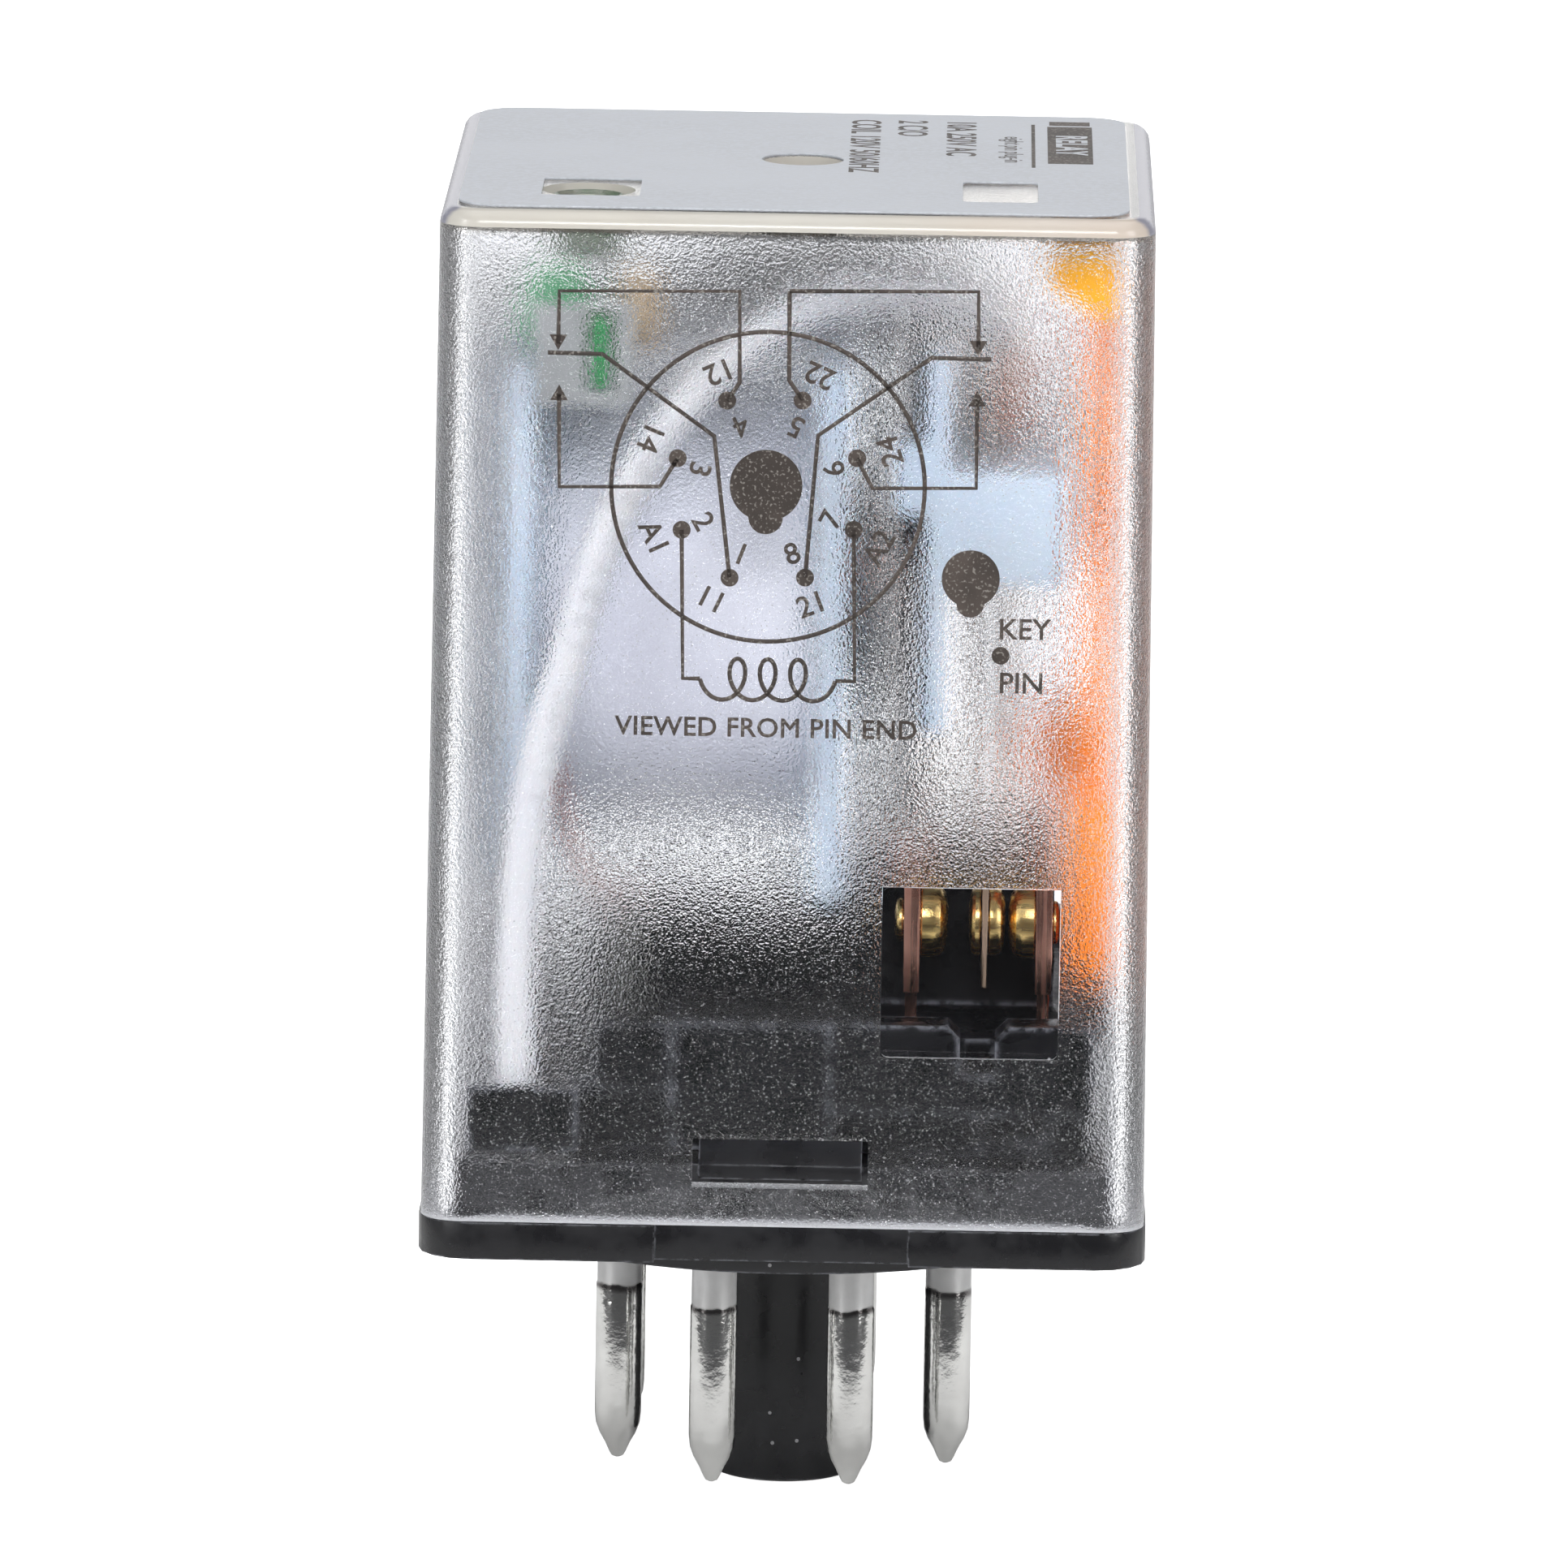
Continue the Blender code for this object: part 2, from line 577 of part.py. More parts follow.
def make_bobbin(parts, tools, material):
    """Two square flanges on a tube."""
    low, high = -BOBBIN_HALF, BOBBIN_HALF
    bobbin = block("bobbin", (LEFT_FLANGE_X[0], low, COIL_Z + low), (LEFT_FLANGE_X[1], high, COIL_Z + high), parts,
                   material)
    length = RIGHT_FLANGE_X[1] - LEFT_FLANGE_X[0]
    middle = ((RIGHT_FLANGE_X[1] + LEFT_FLANGE_X[0]) / 2, 0.0, COIL_Z)
    join(bobbin,
         block("right_flange", (RIGHT_FLANGE_X[0], low, COIL_Z + low), (RIGHT_FLANGE_X[1], high, COIL_Z + high),
               tools),
         rod("bobbin_tube", middle, CORE_RADIUS + 1.4, length - 0.4, "X", tools))
    cut(bobbin, rod("bobbin_bore", middle, CORE_RADIUS + FIT_GAP, length + 2 * BEYOND, "X", tools))


def make_winding(parts, materials):
    """Copper winding and the tape round it, as rings between the bobbin's flanges."""
    low = LEFT_FLANGE_X[1] + FIT_GAP
    high = RIGHT_FLANGE_X[0] - FIT_GAP
    tape_inner = COIL_RADIUS - TAPE_THICKNESS
    for name, inner, outer, material, steps in (
            ("coil_winding", CORE_RADIUS + 1.7, tape_inner - FIT_GAP, "enamel", 24),
            ("coil_wrap", tape_inner, COIL_RADIUS, "tape", 48)):
        turned(name, closed_ring_profile(inner, outer, low, high), (0.0, 0.0, COIL_Z), "X", parts,
               materials[material], steps)


def make_core(parts, tools, materials):
    """Core with its rivet end, its pole head slotted for the copper shading ring."""
    shoulder = RIGHT_FLANGE_X[1] + FIT_GAP
    foot = YOKE_LEFT + YOKE_THICKNESS + SEAT_GAP
    profile = [(0.0, POLE_FACE_X), (POLE_RADIUS, POLE_FACE_X), (POLE_RADIUS, shoulder), (CORE_RADIUS, shoulder),
               (CORE_RADIUS, foot), (RIVET_RADIUS, foot), (RIVET_RADIUS, YOKE_LEFT - 0.15),
               (0.0, YOKE_LEFT - 0.15)]
    core = turned("core", profile, (0.0, 0.0, COIL_Z), "X", parts, materials["steel"])
    bar_low, bar_high = 0.75, 1.35
    cut(core, block("shading_slot", (POLE_FACE_X - 0.9, -BEYOND - POLE_RADIUS, COIL_Z + bar_low - 0.15),
                    (POLE_FACE_X + BEYOND, BEYOND + POLE_RADIUS, COIL_Z + bar_high + 0.15), tools))
    outlines = [d_shape(POLE_RADIUS + 0.9, bar_low), d_shape(POLE_RADIUS + FIT_GAP, bar_high)]
    plate("shading_ring", outlines, 0.6, (POLE_FACE_X - 0.45, 0.0, COIL_Z), parts, materials["copper"],
          turn=(math.radians(90), 0.0, math.radians(90)))


def d_shape(radius, chord, steps=12):
    """Outline of a circle's upper part, cut off by a chord above its centre."""
    start = math.asin(chord / radius)
    angles = [start + (math.pi - 2 * start) * step / steps for step in range(steps + 1)]
    return [(radius * math.cos(a), radius * math.sin(a)) for a in angles]


def make_yoke(parts, tools, material):
    """Bent iron strap: down the coil's left end, and over its top to the hinge edge."""
    thin, bend = YOKE_THICKNESS, YOKE_BEND
    foot = BLOCK_BOTTOM
    outer_bend = [(YOKE_LEFT + bend - bend * math.sin(a), YOKE_TOP - bend + bend * math.cos(a))
                  for a in (math.radians(90 * step / 4) for step in range(5))]
    outline = [(YOKE_RIGHT, YOKE_TOP), *outer_bend, (YOKE_LEFT, foot), (YOKE_LEFT + thin, foot),
               (YOKE_LEFT + thin, YOKE_TOP - thin), (YOKE_RIGHT, YOKE_TOP - thin)]
    yoke = plate("yoke", [outline], 2 * YOKE_HALF_WIDTH, (0.0, 0.0, 0.0), parts, material,
                 turn=(math.radians(90), 0.0, 0.0))
    join(yoke, block("spring_tab", (-5.6, SPRING_Y - TAB_HALF_WIDTH, YOKE_TOP - OVERLAP),
                     (-4.9, SPRING_Y + TAB_HALF_WIDTH, TAB_TOP), tools))
    cut(yoke, rod("core_hole", (YOKE_LEFT, 0.0, COIL_Z), RIVET_RADIUS + FIT_GAP, 4 * BEYOND, "X", tools,
                  sides=16))


def make_return_spring(parts, material):
    """Extension spring between the yoke's tab and the armature's tail."""
    start, end = -4.3, ARMATURE_X[0] - 0.6
    steps = SPRING_TURNS * 8
    points = []
    for step in range(steps + 1):
        angle = math.tau * SPRING_TURNS * step / steps
        points.append((start + (end - start) * step / steps, SPRING_Y + SPRING_RADIUS * math.cos(angle),
                       SPRING_Z + SPRING_RADIUS * math.sin(angle)))
    spring = wire("return_spring", points, SPRING_WIRE, parts, material)
    spring.data.bevel_resolution = 1


# ---------------------------------------------------------------- moving contact set

def make_armature(parts, tools, material):
    """Iron flap with a tail above the hinge for the return spring."""
    armature = block("armature", (ARMATURE_X[0], -ARMATURE_HALF_WIDTH, ARMATURE_BOTTOM),
                     (ARMATURE_X[1], ARMATURE_HALF_WIDTH, ARMATURE_TOP), parts, material)
    join(armature, block("armature_tail", (ARMATURE_X[0], SPRING_Y - TAB_HALF_WIDTH, ARMATURE_TOP - OVERLAP),
                         (ARMATURE_X[1], SPRING_Y + TAB_HALF_WIDTH, TAB_TOP), tools))
    return armature


def make_carrier(parts, tools, material):
    """Nylon carrier: a bar for both blades, cheeks round the armature and a tongue for the lever."""
    x0, x1 = CARRIER_X
    carrier = block("moving_insulator", (x0, -CARRIER_HALF_WIDTH, CARRIER_Z[0]),
                    (x1, CARRIER_HALF_WIDTH, CARRIER_Z[1]), parts, material)
    join(carrier, block("lever_tongue", (10.4, -5.5, 24.4), (11.3, -2.5, CARRIER_Z[0] + OVERLAP), tools))
    for side_name, side in SIDES:
        for name, low, high in (
                ("cheek", (x0, -CARRIER_HALF_WIDTH, 26.4), (x0 + 1.1, -11.6, 44.5)),
                ("arm", (4.85, -CARRIER_HALF_WIDTH, 36.8), (x0 + OVERLAP, -11.6, 40.3))):
            join(carrier, block(f"{name}_{side_name}", *mirrored(low, high, side), tools))
        slot_low = (BLADE_X[0] - FIT_GAP, -POLE_Y - BLADE_HALF_WIDTH - FIT_GAP, CARRIER_Z[0] - BEYOND)
        slot_high = (BLADE_X[1] + FIT_GAP, -POLE_Y + BLADE_HALF_WIDTH + FIT_GAP, CARRIER_Z[1] + BEYOND)
        cut(carrier, block("blade_slot_" + side_name, *mirrored(slot_low, slot_high, side), tools))
    return carrier


def make_blade(side_name, side, parts, tools, material):
    """Bronze spring blade with a hole for its contact rivet."""
    low = (BLADE_X[0], -POLE_Y - BLADE_HALF_WIDTH, BLADE_Z[0])
    high = (BLADE_X[1], -POLE_Y + BLADE_HALF_WIDTH, BLADE_Z[1])
    blade = block("blade_" + side_name, *mirrored(low, high, side), parts, material)
    cut(blade, rivet_hole("blade_hole_" + side_name, BLADE_X, side, tools))
    return blade


def rivet_hole(name, xs, side, tools):
    """Clearance hole for a rivet's shank."""
    return rod(name, (sum(xs) / 2, -POLE_Y * side, CONTACT_Z), SHANK_RADIUS + 0.25, 2 * BEYOND, "X", tools,
               sides=12)


def rivet(name, right, left, side, parts, material):
    """Contact rivet along X: right and left are (radius, inner x, outer x) of its two heads."""
    profile = []
    radius, inner, outer = right
    profile += [(0.0, outer), (radius * 0.8, outer), (radius, outer - 0.25), (radius, inner)]
    profile += [(SHANK_RADIUS, inner)]
    radius, inner, outer = left
    profile += [(SHANK_RADIUS, inner), (radius, inner), (radius, outer + 0.25), (radius * 0.8, outer), (0.0, outer)]
    return turned(name, profile, (0.0, -POLE_Y * side, CONTACT_Z), "X", parts, material, steps=20)


def make_moving_contact(side_name, side, parts, material):
    """Double-faced rivet in the blade's end."""
    return rivet("moving_contact_" + side_name,
                 (MOVING_HEAD_RADIUS, BLADE_X[1] + RIVET_GAP, 10.5),
                 (MOVING_HEAD_RADIUS, BLADE_X[0] - RIVET_GAP, 8.74), side, parts, material)


def make_fixed_contacts(side_name, side, parts, tools, materials):
    """Normally open post on the left, normally closed post on the right, each with its rivet."""
    for name, xs, top in (("open", OPEN_POST_X, 20.6), ("closed", CLOSED_POST_X, 21.8)):
        low = (xs[0], -POLE_Y - POST_HALF_WIDTH, POST_BOTTOM)
        high = (xs[1], -POLE_Y + POST_HALF_WIDTH, top)
        post = block(f"{name}_post_{side_name}", *mirrored(low, high, side), parts, materials["copper"])
        foot_low = (xs[0] + 0.1, -POLE_Y - 0.9, FLOOR_TOP + SEAT_GAP)
        foot_high = (xs[1] - 0.1, -POLE_Y + 0.9, POST_BOTTOM + OVERLAP)
        join(post, block(f"{name}_foot_{side_name}", *mirrored(foot_low, foot_high, side), tools))
        cut(post, rivet_hole(f"{name}_post_hole_{side_name}", xs, side, tools))
    rivet("open_contact_" + side_name, (HEAD_RADIUS, OPEN_POST_X[1] + RIVET_GAP, 7.72),
          (TAIL_RADIUS, OPEN_POST_X[0] - RIVET_GAP, 5.15), side, parts, materials["gold"])
    rivet("closed_contact_" + side_name, (TAIL_RADIUS, CLOSED_POST_X[1] + RIVET_GAP, 13.12),
          (HEAD_RADIUS, CLOSED_POST_X[0] - RIVET_GAP, 10.66), side, parts, materials["gold"])


def make_flag(right, tools):
    """Flag on the leaf's top, with a slope under it."""
    outline = [(right, GUSSET_Z), (right, FLAG_Z[1]), (FLAG_X[0], FLAG_Z[1]), (FLAG_X[0], FLAG_Z[0]),
               (right - 1.1, GUSSET_Z + 0.4)]
    return plate("lever_flag", [outline], FLAG_Y[1] - FLAG_Y[0], (0.0, sum(FLAG_Y) / 2, 0.0), tools,
                 turn=(math.radians(90), 0.0, 0.0))


def make_lever(parts, tools, materials):
    """Orange indicator: a tall leaf on a low pivot, with a finger for the link and a flag on top."""
    x = LEVER_PIVOT_X
    leaf = [(x - 0.9, LEVER_PIVOT_Z - 0.9), (x + 0.9, LEVER_PIVOT_Z - 0.9), (x + 0.9, 22.0), (x + 0.6, 24.0),
            (x + 0.6, FLAG_Z[1]), (x - 0.5, FLAG_Z[1]), (x - 0.5, 24.0), (x - 0.9, 22.0)]
    lever = plate("indicator_lever", [leaf], LEVER_Y[1] - LEVER_Y[0], (0.0, sum(LEVER_Y) / 2, 0.0), parts,
                  materials["orange"], turn=(math.radians(90), 0.0, 0.0))
    join(lever, block("lever_finger", (11.6, -5.5, 22.4), (x - 0.3, -2.5, 25.6), tools),
         make_flag(x + 0.6, tools))
    cut(lever, rod("lever_bore", (x, sum(LEVER_Y) / 2, LEVER_PIVOT_Z), LEVER_PIN_RADIUS + 0.1,
                   LEVER_Y[1] - LEVER_Y[0] + BEYOND, "Y", tools, sides=16))
    pin_length = LEVER_Y[1] - LEVER_Y[0] + 3.0
    rod("lever_pivot_pin", (x, sum(LEVER_Y) / 2, LEVER_PIVOT_Z), LEVER_PIN_RADIUS, pin_length, "Y", parts,
        materials["spring"], sides=16)
    return lever


# ---------------------------------------------------------------- wiring and lamp

def reflect(route, side):
    """Route as it runs in front, or reflected to the rear."""
    return [(x, y * side, z) for x, y, z in route]


def make_leads(side_name, side, parts, materials):
    """White lead from the base to the blade with its bare end, and the coil's thin lead."""
    wire("lead_" + side_name, smooth_route(reflect(LEAD_ROUTE, side), 2.4), LEAD_RADIUS, parts,
         materials["white"])
    tail = wire("lead_tail_" + side_name, smooth_route(reflect(LEAD_TAIL_ROUTE, side), 1.5), LEAD_TAIL_RADIUS,
                parts, materials["copper"])
    wire("coil_lead_" + side_name, smooth_route(reflect(COIL_LEAD_ROUTE, side), 1.8), 0.3, parts,
         materials["red"])
    low, high = mirrored((-8.0, -10.0, BLOCK_TOP + SEAT_GAP), (-7.3, -8.1, 16.8), side)
    block("coil_terminal_" + side_name, low, high, parts, materials["tin"])
    return tail


def make_lamp(parts, tools, materials):
    """Lamp under its lens, with its board, bracket and series resistor."""
    x, y = LAMP_CENTRE
    dome = [(LAMP_RADIUS * math.sin(a), LAMP_TOP - LAMP_RADIUS + LAMP_RADIUS * math.cos(a))
            for a in (math.radians(90 * step / 5) for step in range(6))]
    profile = [*dome, (LAMP_RADIUS, LAMP_BOTTOM + 0.7), (LAMP_RADIUS + 0.2, LAMP_BOTTOM + 0.7),
               (LAMP_RADIUS + 0.2, LAMP_BOTTOM), (0.0, LAMP_BOTTOM)]
    turned("lamp", profile, (x, y, 0.0), "Z", parts, materials["green"], steps=20)
    board_low, board_high = BOARD_SIZE
    block("lamp_board", board_low, board_high, parts, materials["board"])
    bracket = block("lamp_bracket", *BRACKET_SIZE, parts, materials["grey"])
    cut(bracket, block("board_slot", (board_low[0] - FIT_GAP, board_low[1] - BEYOND, board_low[2] - FIT_GAP),
                       (board_high[0] + FIT_GAP, board_high[1] + BEYOND, board_high[2] + FIT_GAP), tools))
    rod("lamp_resistor", (-7.5, -11.4, 46.3), 0.9, 3.6, "Z", parts, materials["beige"], sides=12)
    top = COVER_TOP
    lens = [(0.0, top), (LENS_RADIUS, top), (LENS_RADIUS, top - COVER_WALL), (LENS_RADIUS - 0.5, top - COVER_WALL),
            (LENS_RADIUS - 0.5, LAMP_TOP + 0.5), (0.0, LAMP_TOP + 0.5)]
    turned("lamp_lens", lens, (*LENS_CENTRE, 0.0), "Z", parts, materials["clear"], steps=24)


def hang_on(pivot_name, location, pieces, collection):
    """Parent moving pieces to an empty on their joint's axis."""
    pivot = place(pivot_name, None, location, collection)
    for piece in pieces:
        piece.parent = pivot
        piece.matrix_parent_inverse = Matrix.Translation(Vector(location) * MM).inverted()


def main():
    """Build the whole relay."""
    clear_scene()
    parts = new_collection(PART_NAME)
    tools = new_collection("cutters")
    materials = make_materials()
    make_base(parts, tools, materials["black"])
    make_pins(parts, materials["tin"])
    make_cover(parts, tools, materials["clear"])
    make_label(parts, materials["film"])
    make_contact_block(parts, tools, materials["black"])
    make_bobbin(parts, tools, materials["nylon"])
    make_winding(parts, materials)
    make_core(parts, tools, materials)
    make_yoke(parts, tools, materials["steel"])
    make_return_spring(parts, materials["spring"])
    swinging = [make_armature(parts, tools, materials["steel"]), make_carrier(parts, tools, materials["nylon"])]
    for side_name, side in SIDES:
        swinging += [make_blade(side_name, side, parts, tools, materials["bronze"]),
                     make_moving_contact(side_name, side, parts, materials["gold"]),
                     make_leads(side_name, side, parts, materials)]
        make_fixed_contacts(side_name, side, parts, tools, materials)
    hang_on("armature_hinge", (HINGE_X, 0.0, HINGE_Z), swinging, parts)
    lever = make_lever(parts, tools, materials)
    hang_on("lever_pivot", (LEVER_PIVOT_X, 0.0, LEVER_PIVOT_Z), [lever], parts)
    make_lamp(parts, tools, materials)


main()
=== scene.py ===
"""Looks of an eight-pin plug-in relay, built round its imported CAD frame.

Every object is in metres in the frame's own axes: +Z up, +X right, -Y the printed front.
"""
import math

import bpy
from mathutils import Matrix, Vector


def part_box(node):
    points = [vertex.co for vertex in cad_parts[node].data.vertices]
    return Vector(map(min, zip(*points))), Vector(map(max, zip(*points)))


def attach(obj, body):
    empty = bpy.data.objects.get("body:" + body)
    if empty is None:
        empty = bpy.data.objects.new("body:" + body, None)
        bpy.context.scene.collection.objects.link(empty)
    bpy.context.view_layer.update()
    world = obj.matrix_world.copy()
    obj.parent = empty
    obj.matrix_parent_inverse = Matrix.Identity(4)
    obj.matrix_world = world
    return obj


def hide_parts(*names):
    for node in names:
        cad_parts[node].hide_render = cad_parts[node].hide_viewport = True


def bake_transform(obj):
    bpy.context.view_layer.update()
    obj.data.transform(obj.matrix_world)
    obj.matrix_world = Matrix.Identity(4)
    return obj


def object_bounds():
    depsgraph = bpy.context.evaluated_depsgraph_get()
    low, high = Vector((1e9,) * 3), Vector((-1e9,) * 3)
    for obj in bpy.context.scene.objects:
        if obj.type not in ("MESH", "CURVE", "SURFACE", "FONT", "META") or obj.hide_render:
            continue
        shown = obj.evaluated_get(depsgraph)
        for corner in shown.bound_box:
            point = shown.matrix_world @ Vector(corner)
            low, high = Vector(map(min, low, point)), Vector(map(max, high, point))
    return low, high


bl_info = {
    "name": "Plug-in relay",
    "version": (1, 0, 0),
    "blender": (4, 5, 0),
    "location": "View3D > Sidebar > Relay",
    "description": "Builds the visible pieces of an eight-pin plug-in relay round its CAD frame",
    "category": "Object",
}

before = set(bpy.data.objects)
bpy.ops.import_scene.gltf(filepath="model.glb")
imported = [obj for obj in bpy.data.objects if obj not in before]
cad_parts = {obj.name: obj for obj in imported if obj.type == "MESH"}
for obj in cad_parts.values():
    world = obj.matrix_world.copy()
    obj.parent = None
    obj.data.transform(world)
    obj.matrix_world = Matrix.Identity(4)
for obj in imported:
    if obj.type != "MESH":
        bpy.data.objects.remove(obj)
CAD_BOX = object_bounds()

MM = 0.001
SIDES = (("front", 1.0), ("rear", -1.0))
QUARTER = math.radians(90)


def corner(node, which):
    """Low (0) or high (1) corner of a CAD node, in mm."""
    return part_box(node)[which] / MM


COVER_LOW, COVER_HIGH = corner("cover", 0), corner("cover", 1)
LABEL_LOW, LABEL_HIGH = corner("cover_label", 0), corner("cover_label", 1)
COVER_TOP = COVER_HIGH.z + 0.22
COVER_DRAFT = 0.4          # how far each wall leans in over the cover's height, mm
FLANGE_TOP = 2.6
SEAM = 0.04                # gap that is left between pieces that touch, mm
LATCH_WINDOW = ((-4.34, 4.10), (4.52, 6.91))
VIEW_WINDOW = ((4.59, 13.08), (11.06, 19.34))
HOLE_CENTRE = (0.0, 0.3)
LENS_CENTRE = (-10.1, -9.8)
PIN_CIRCLE = 8.73


# ---------------------------------------------------------------- what a user can change

def length(name, description, default, low, high):
    """Size in millimetres that a user can change."""
    return bpy.props.FloatProperty(name=name, description=description + ", mm", default=default,
                                   min=low, max=high)


def paint(name, description, default):
    """Colour that a user can change."""
    return bpy.props.FloatVectorProperty(name=name, description=description, subtype="COLOR",
                                         default=default, min=0.0, max=1.0)


class RelaySizes(bpy.types.PropertyGroup):
    """Sizes of the visible pieces, in millimetres."""
    cover_wall: length("Cover wall", "Thickness of the clear cover", 1.2, 0.6, 2.0)
    cover_corner: length("Cover corner", "Radius of the upright corners", 2.0, 0.5, 5.0)
    cover_fillet: length("Cover top edge", "Radius of the top edge", 0.8, 0.2, 1.1)
    print_line: length("Printed line", "Width of the diagram's lines", 0.24, 0.1, 0.5)
    print_height: length("Printed letters", "Size of the diagram's letters", 1.45, 0.8, 2.5)
    lead_radius: length("Lead radius", "Outer radius of a white lead", 1.0, 0.5, 1.2)


class RelayColours(bpy.types.PropertyGroup):
    """Main colours of the relay."""
    plastic: paint("Clear plastic", "Tint of the clear cover", (0.93, 0.935, 0.955))
    film: paint("Film", "Printed film on top", (0.46, 0.48, 0.52))
    ink: paint("Ink", "Printed diagram", (0.045, 0.035, 0.03))
    black: paint("Black plastic", "Base and contact block", (0.012, 0.012, 0.014))
    nylon: paint("Nylon", "Bobbin and moving carrier", (0.50, 0.57, 0.64))
    orange: paint("Indicator", "Indicator lever", (0.95, 0.22, 0.01))
    copper: paint("Copper", "Contact posts and bare wire", (0.90, 0.48, 0.36))
    gold: paint("Contact metal", "Contact rivets", (0.90, 0.66, 0.26))
    green: paint("Lamp", "Lamp resin", (0.22, 0.62, 0.34))


def sizes():
    """The sizes in the scene."""
    return bpy.context.scene.relay_sizes


def colours():
    """The colours in the scene."""
    return bpy.context.scene.relay_colours


# ---------------------------------------------------------------- shader groups

def new_group(name, inputs, outputs):
    """Node group with named float inputs (name, default) and outputs (name, type)."""
    tree = bpy.data.node_groups.new(name, "ShaderNodeTree")
    for socket_name, default in inputs:
        socket = tree.interface.new_socket(socket_name, in_out="INPUT", socket_type="NodeSocketFloat")
        socket.default_value = default
    for socket_name, kind in outputs:
        tree.interface.new_socket(socket_name, in_out="OUTPUT", socket_type="NodeSocket" + kind)
    return tree, tree.nodes.new("NodeGroupInput"), tree.nodes.new("NodeGroupOutput")


def add_node(tree, kind, values=(), **settings):
    """Shader node with its settings and its unlinked inputs' values."""
    node = tree.nodes.new("ShaderNode" + kind)
    for key, value in settings.items():
        setattr(node, key, value)
    for key, value in dict(values).items():
        node.inputs[key].default_value = value
    return node


def feed(tree, socket, value):
    """Give a socket a number, a colour or a link from another socket."""
    if isinstance(value, bpy.types.NodeSocket):
        tree.links.new(value, socket)
    elif isinstance(value, (int, float)):
        socket.default_value = value
    else:
        socket.default_value = (*value, 1.0)[:4]


def maths(tree, operation, a, b=0.0, clamp=False):
    """Math node whose inputs are sockets or numbers; its result."""
    node = add_node(tree, "Math", operation=operation, use_clamp=clamp)
    feed(tree, node.inputs[0], a)
    feed(tree, node.inputs[1], b)
    return node.outputs[0]


def product(tree, *factors):
    """Product of sockets and numbers."""
    result = factors[0]
    for factor in factors[1:]:
        result = maths(tree, "MULTIPLY", result, factor)
    return result


def ramp(tree, source, low, high, out_low=0.0, out_high=1.0):
    """Source mapped smoothly from low..high to out_low..out_high."""
    node = add_node(tree, "MapRange", interpolation_type="SMOOTHSTEP")
    for index, value in enumerate((source, low, high, out_low, out_high)):
        feed(tree, node.inputs[index], value)
    return node.outputs["Result"]


COLOUR_A, COLOUR_B, COLOUR_OUT = 6, 7, 2     # a Mix node's sockets when it mixes colours


def mix_colour(tree, factor, a, b):
    """Mix of two colours, each a socket or a tuple; its result."""
    node = add_node(tree, "Mix", data_type="RGBA")
    feed(tree, node.inputs["Factor"], factor)
    feed(tree, node.inputs[COLOUR_A], a)
    feed(tree, node.inputs[COLOUR_B], b)
    return node.outputs[COLOUR_OUT]


def object_place(tree):
    """Object coordinates, and the same split into X, Y and Z."""
    place = add_node(tree, "TexCoord").outputs["Object"]
    split = add_node(tree, "SeparateXYZ")
    tree.links.new(place, split.inputs[0])
    return place, split


def make_grain_group():
    """Two scales of noise: a height for bumps and a mask that varies over the surface."""
    tree, inp, out = new_group("relay_grain", (("Scale", 1000.0), ("Coarse Scale", 120.0), ("Detail", 2.0)),
                               (("Height", "Float"), ("Mask", "Float")))
    place = add_node(tree, "TexCoord")
    fine = add_node(tree, "TexNoise", {"Roughness": 0.55})
    coarse = add_node(tree, "TexNoise", {"Roughness": 0.6, "Detail": 3.0})
    for node, scale in ((fine, "Scale"), (coarse, "Coarse Scale")):
        tree.links.new(place.outputs["Object"], node.inputs["Vector"])
        tree.links.new(inp.outputs[scale], node.inputs["Scale"])
    tree.links.new(inp.outputs["Detail"], fine.inputs["Detail"])
    tree.links.new(fine.outputs["Fac"], out.inputs["Height"])
    tree.links.new(ramp(tree, coarse.outputs["Fac"], 0.35, 0.65), out.inputs["Mask"])
    return tree


def make_edge_group():
    """Mask that is 1 along convex edges, broken up by noise; it carries painted edge highlights."""
    tree, inp, out = new_group("relay_edge_highlight", (("Width", 0.0002), ("Break Up", 900.0), ("Amount", 1.0)),
                               (("Mask", "Float"),))
    soft = add_node(tree, "Bevel", samples=4)
    tree.links.new(inp.outputs["Width"], soft.inputs["Radius"])
    flat = add_node(tree, "NewGeometry")
    dot = add_node(tree, "VectorMath", operation="DOT_PRODUCT")
    tree.links.new(soft.outputs["Normal"], dot.inputs[0])
    tree.links.new(flat.outputs["Normal"], dot.inputs[1])
    edge = ramp(tree, dot.outputs["Value"], 0.995, 0.90)
    place = add_node(tree, "TexCoord")
    noise = add_node(tree, "TexNoise", {"Detail": 3.0, "Roughness": 0.7})
    tree.links.new(place.outputs["Object"], noise.inputs["Vector"])
    tree.links.new(inp.outputs["Break Up"], noise.inputs["Scale"])
    broken = ramp(tree, noise.outputs["Fac"], 0.38, 0.62)
    both = maths(tree, "MULTIPLY", edge, broken)
    tree.links.new(maths(tree, "MULTIPLY", both, inp.outputs["Amount"], clamp=True), out.inputs["Mask"])
    return tree


def make_dust_and_glint_group():
    """Mask of small scattered specks: pale specks on the black mouldings, painted glints on the cover."""
    tree, inp, out = new_group("relay_dust_and_glints", (("Scale", 900.0), ("Size", 0.12), ("Share", 0.1)),
                               (("Mask", "Float"),))
    place = add_node(tree, "TexCoord")
    cells = add_node(tree, "TexVoronoi", {"Randomness": 1.0})
    tree.links.new(place.outputs["Object"], cells.inputs["Vector"])
    tree.links.new(inp.outputs["Scale"], cells.inputs["Scale"])
    grey = add_node(tree, "RGBToBW")
    tree.links.new(cells.outputs["Color"], grey.inputs[0])
    chosen = maths(tree, "LESS_THAN", grey.outputs[0], inp.outputs["Share"])
    near = maths(tree, "LESS_THAN", cells.outputs["Distance"], inp.outputs["Size"])
    tree.links.new(maths(tree, "MULTIPLY", chosen, near), out.inputs["Mask"])
    return tree


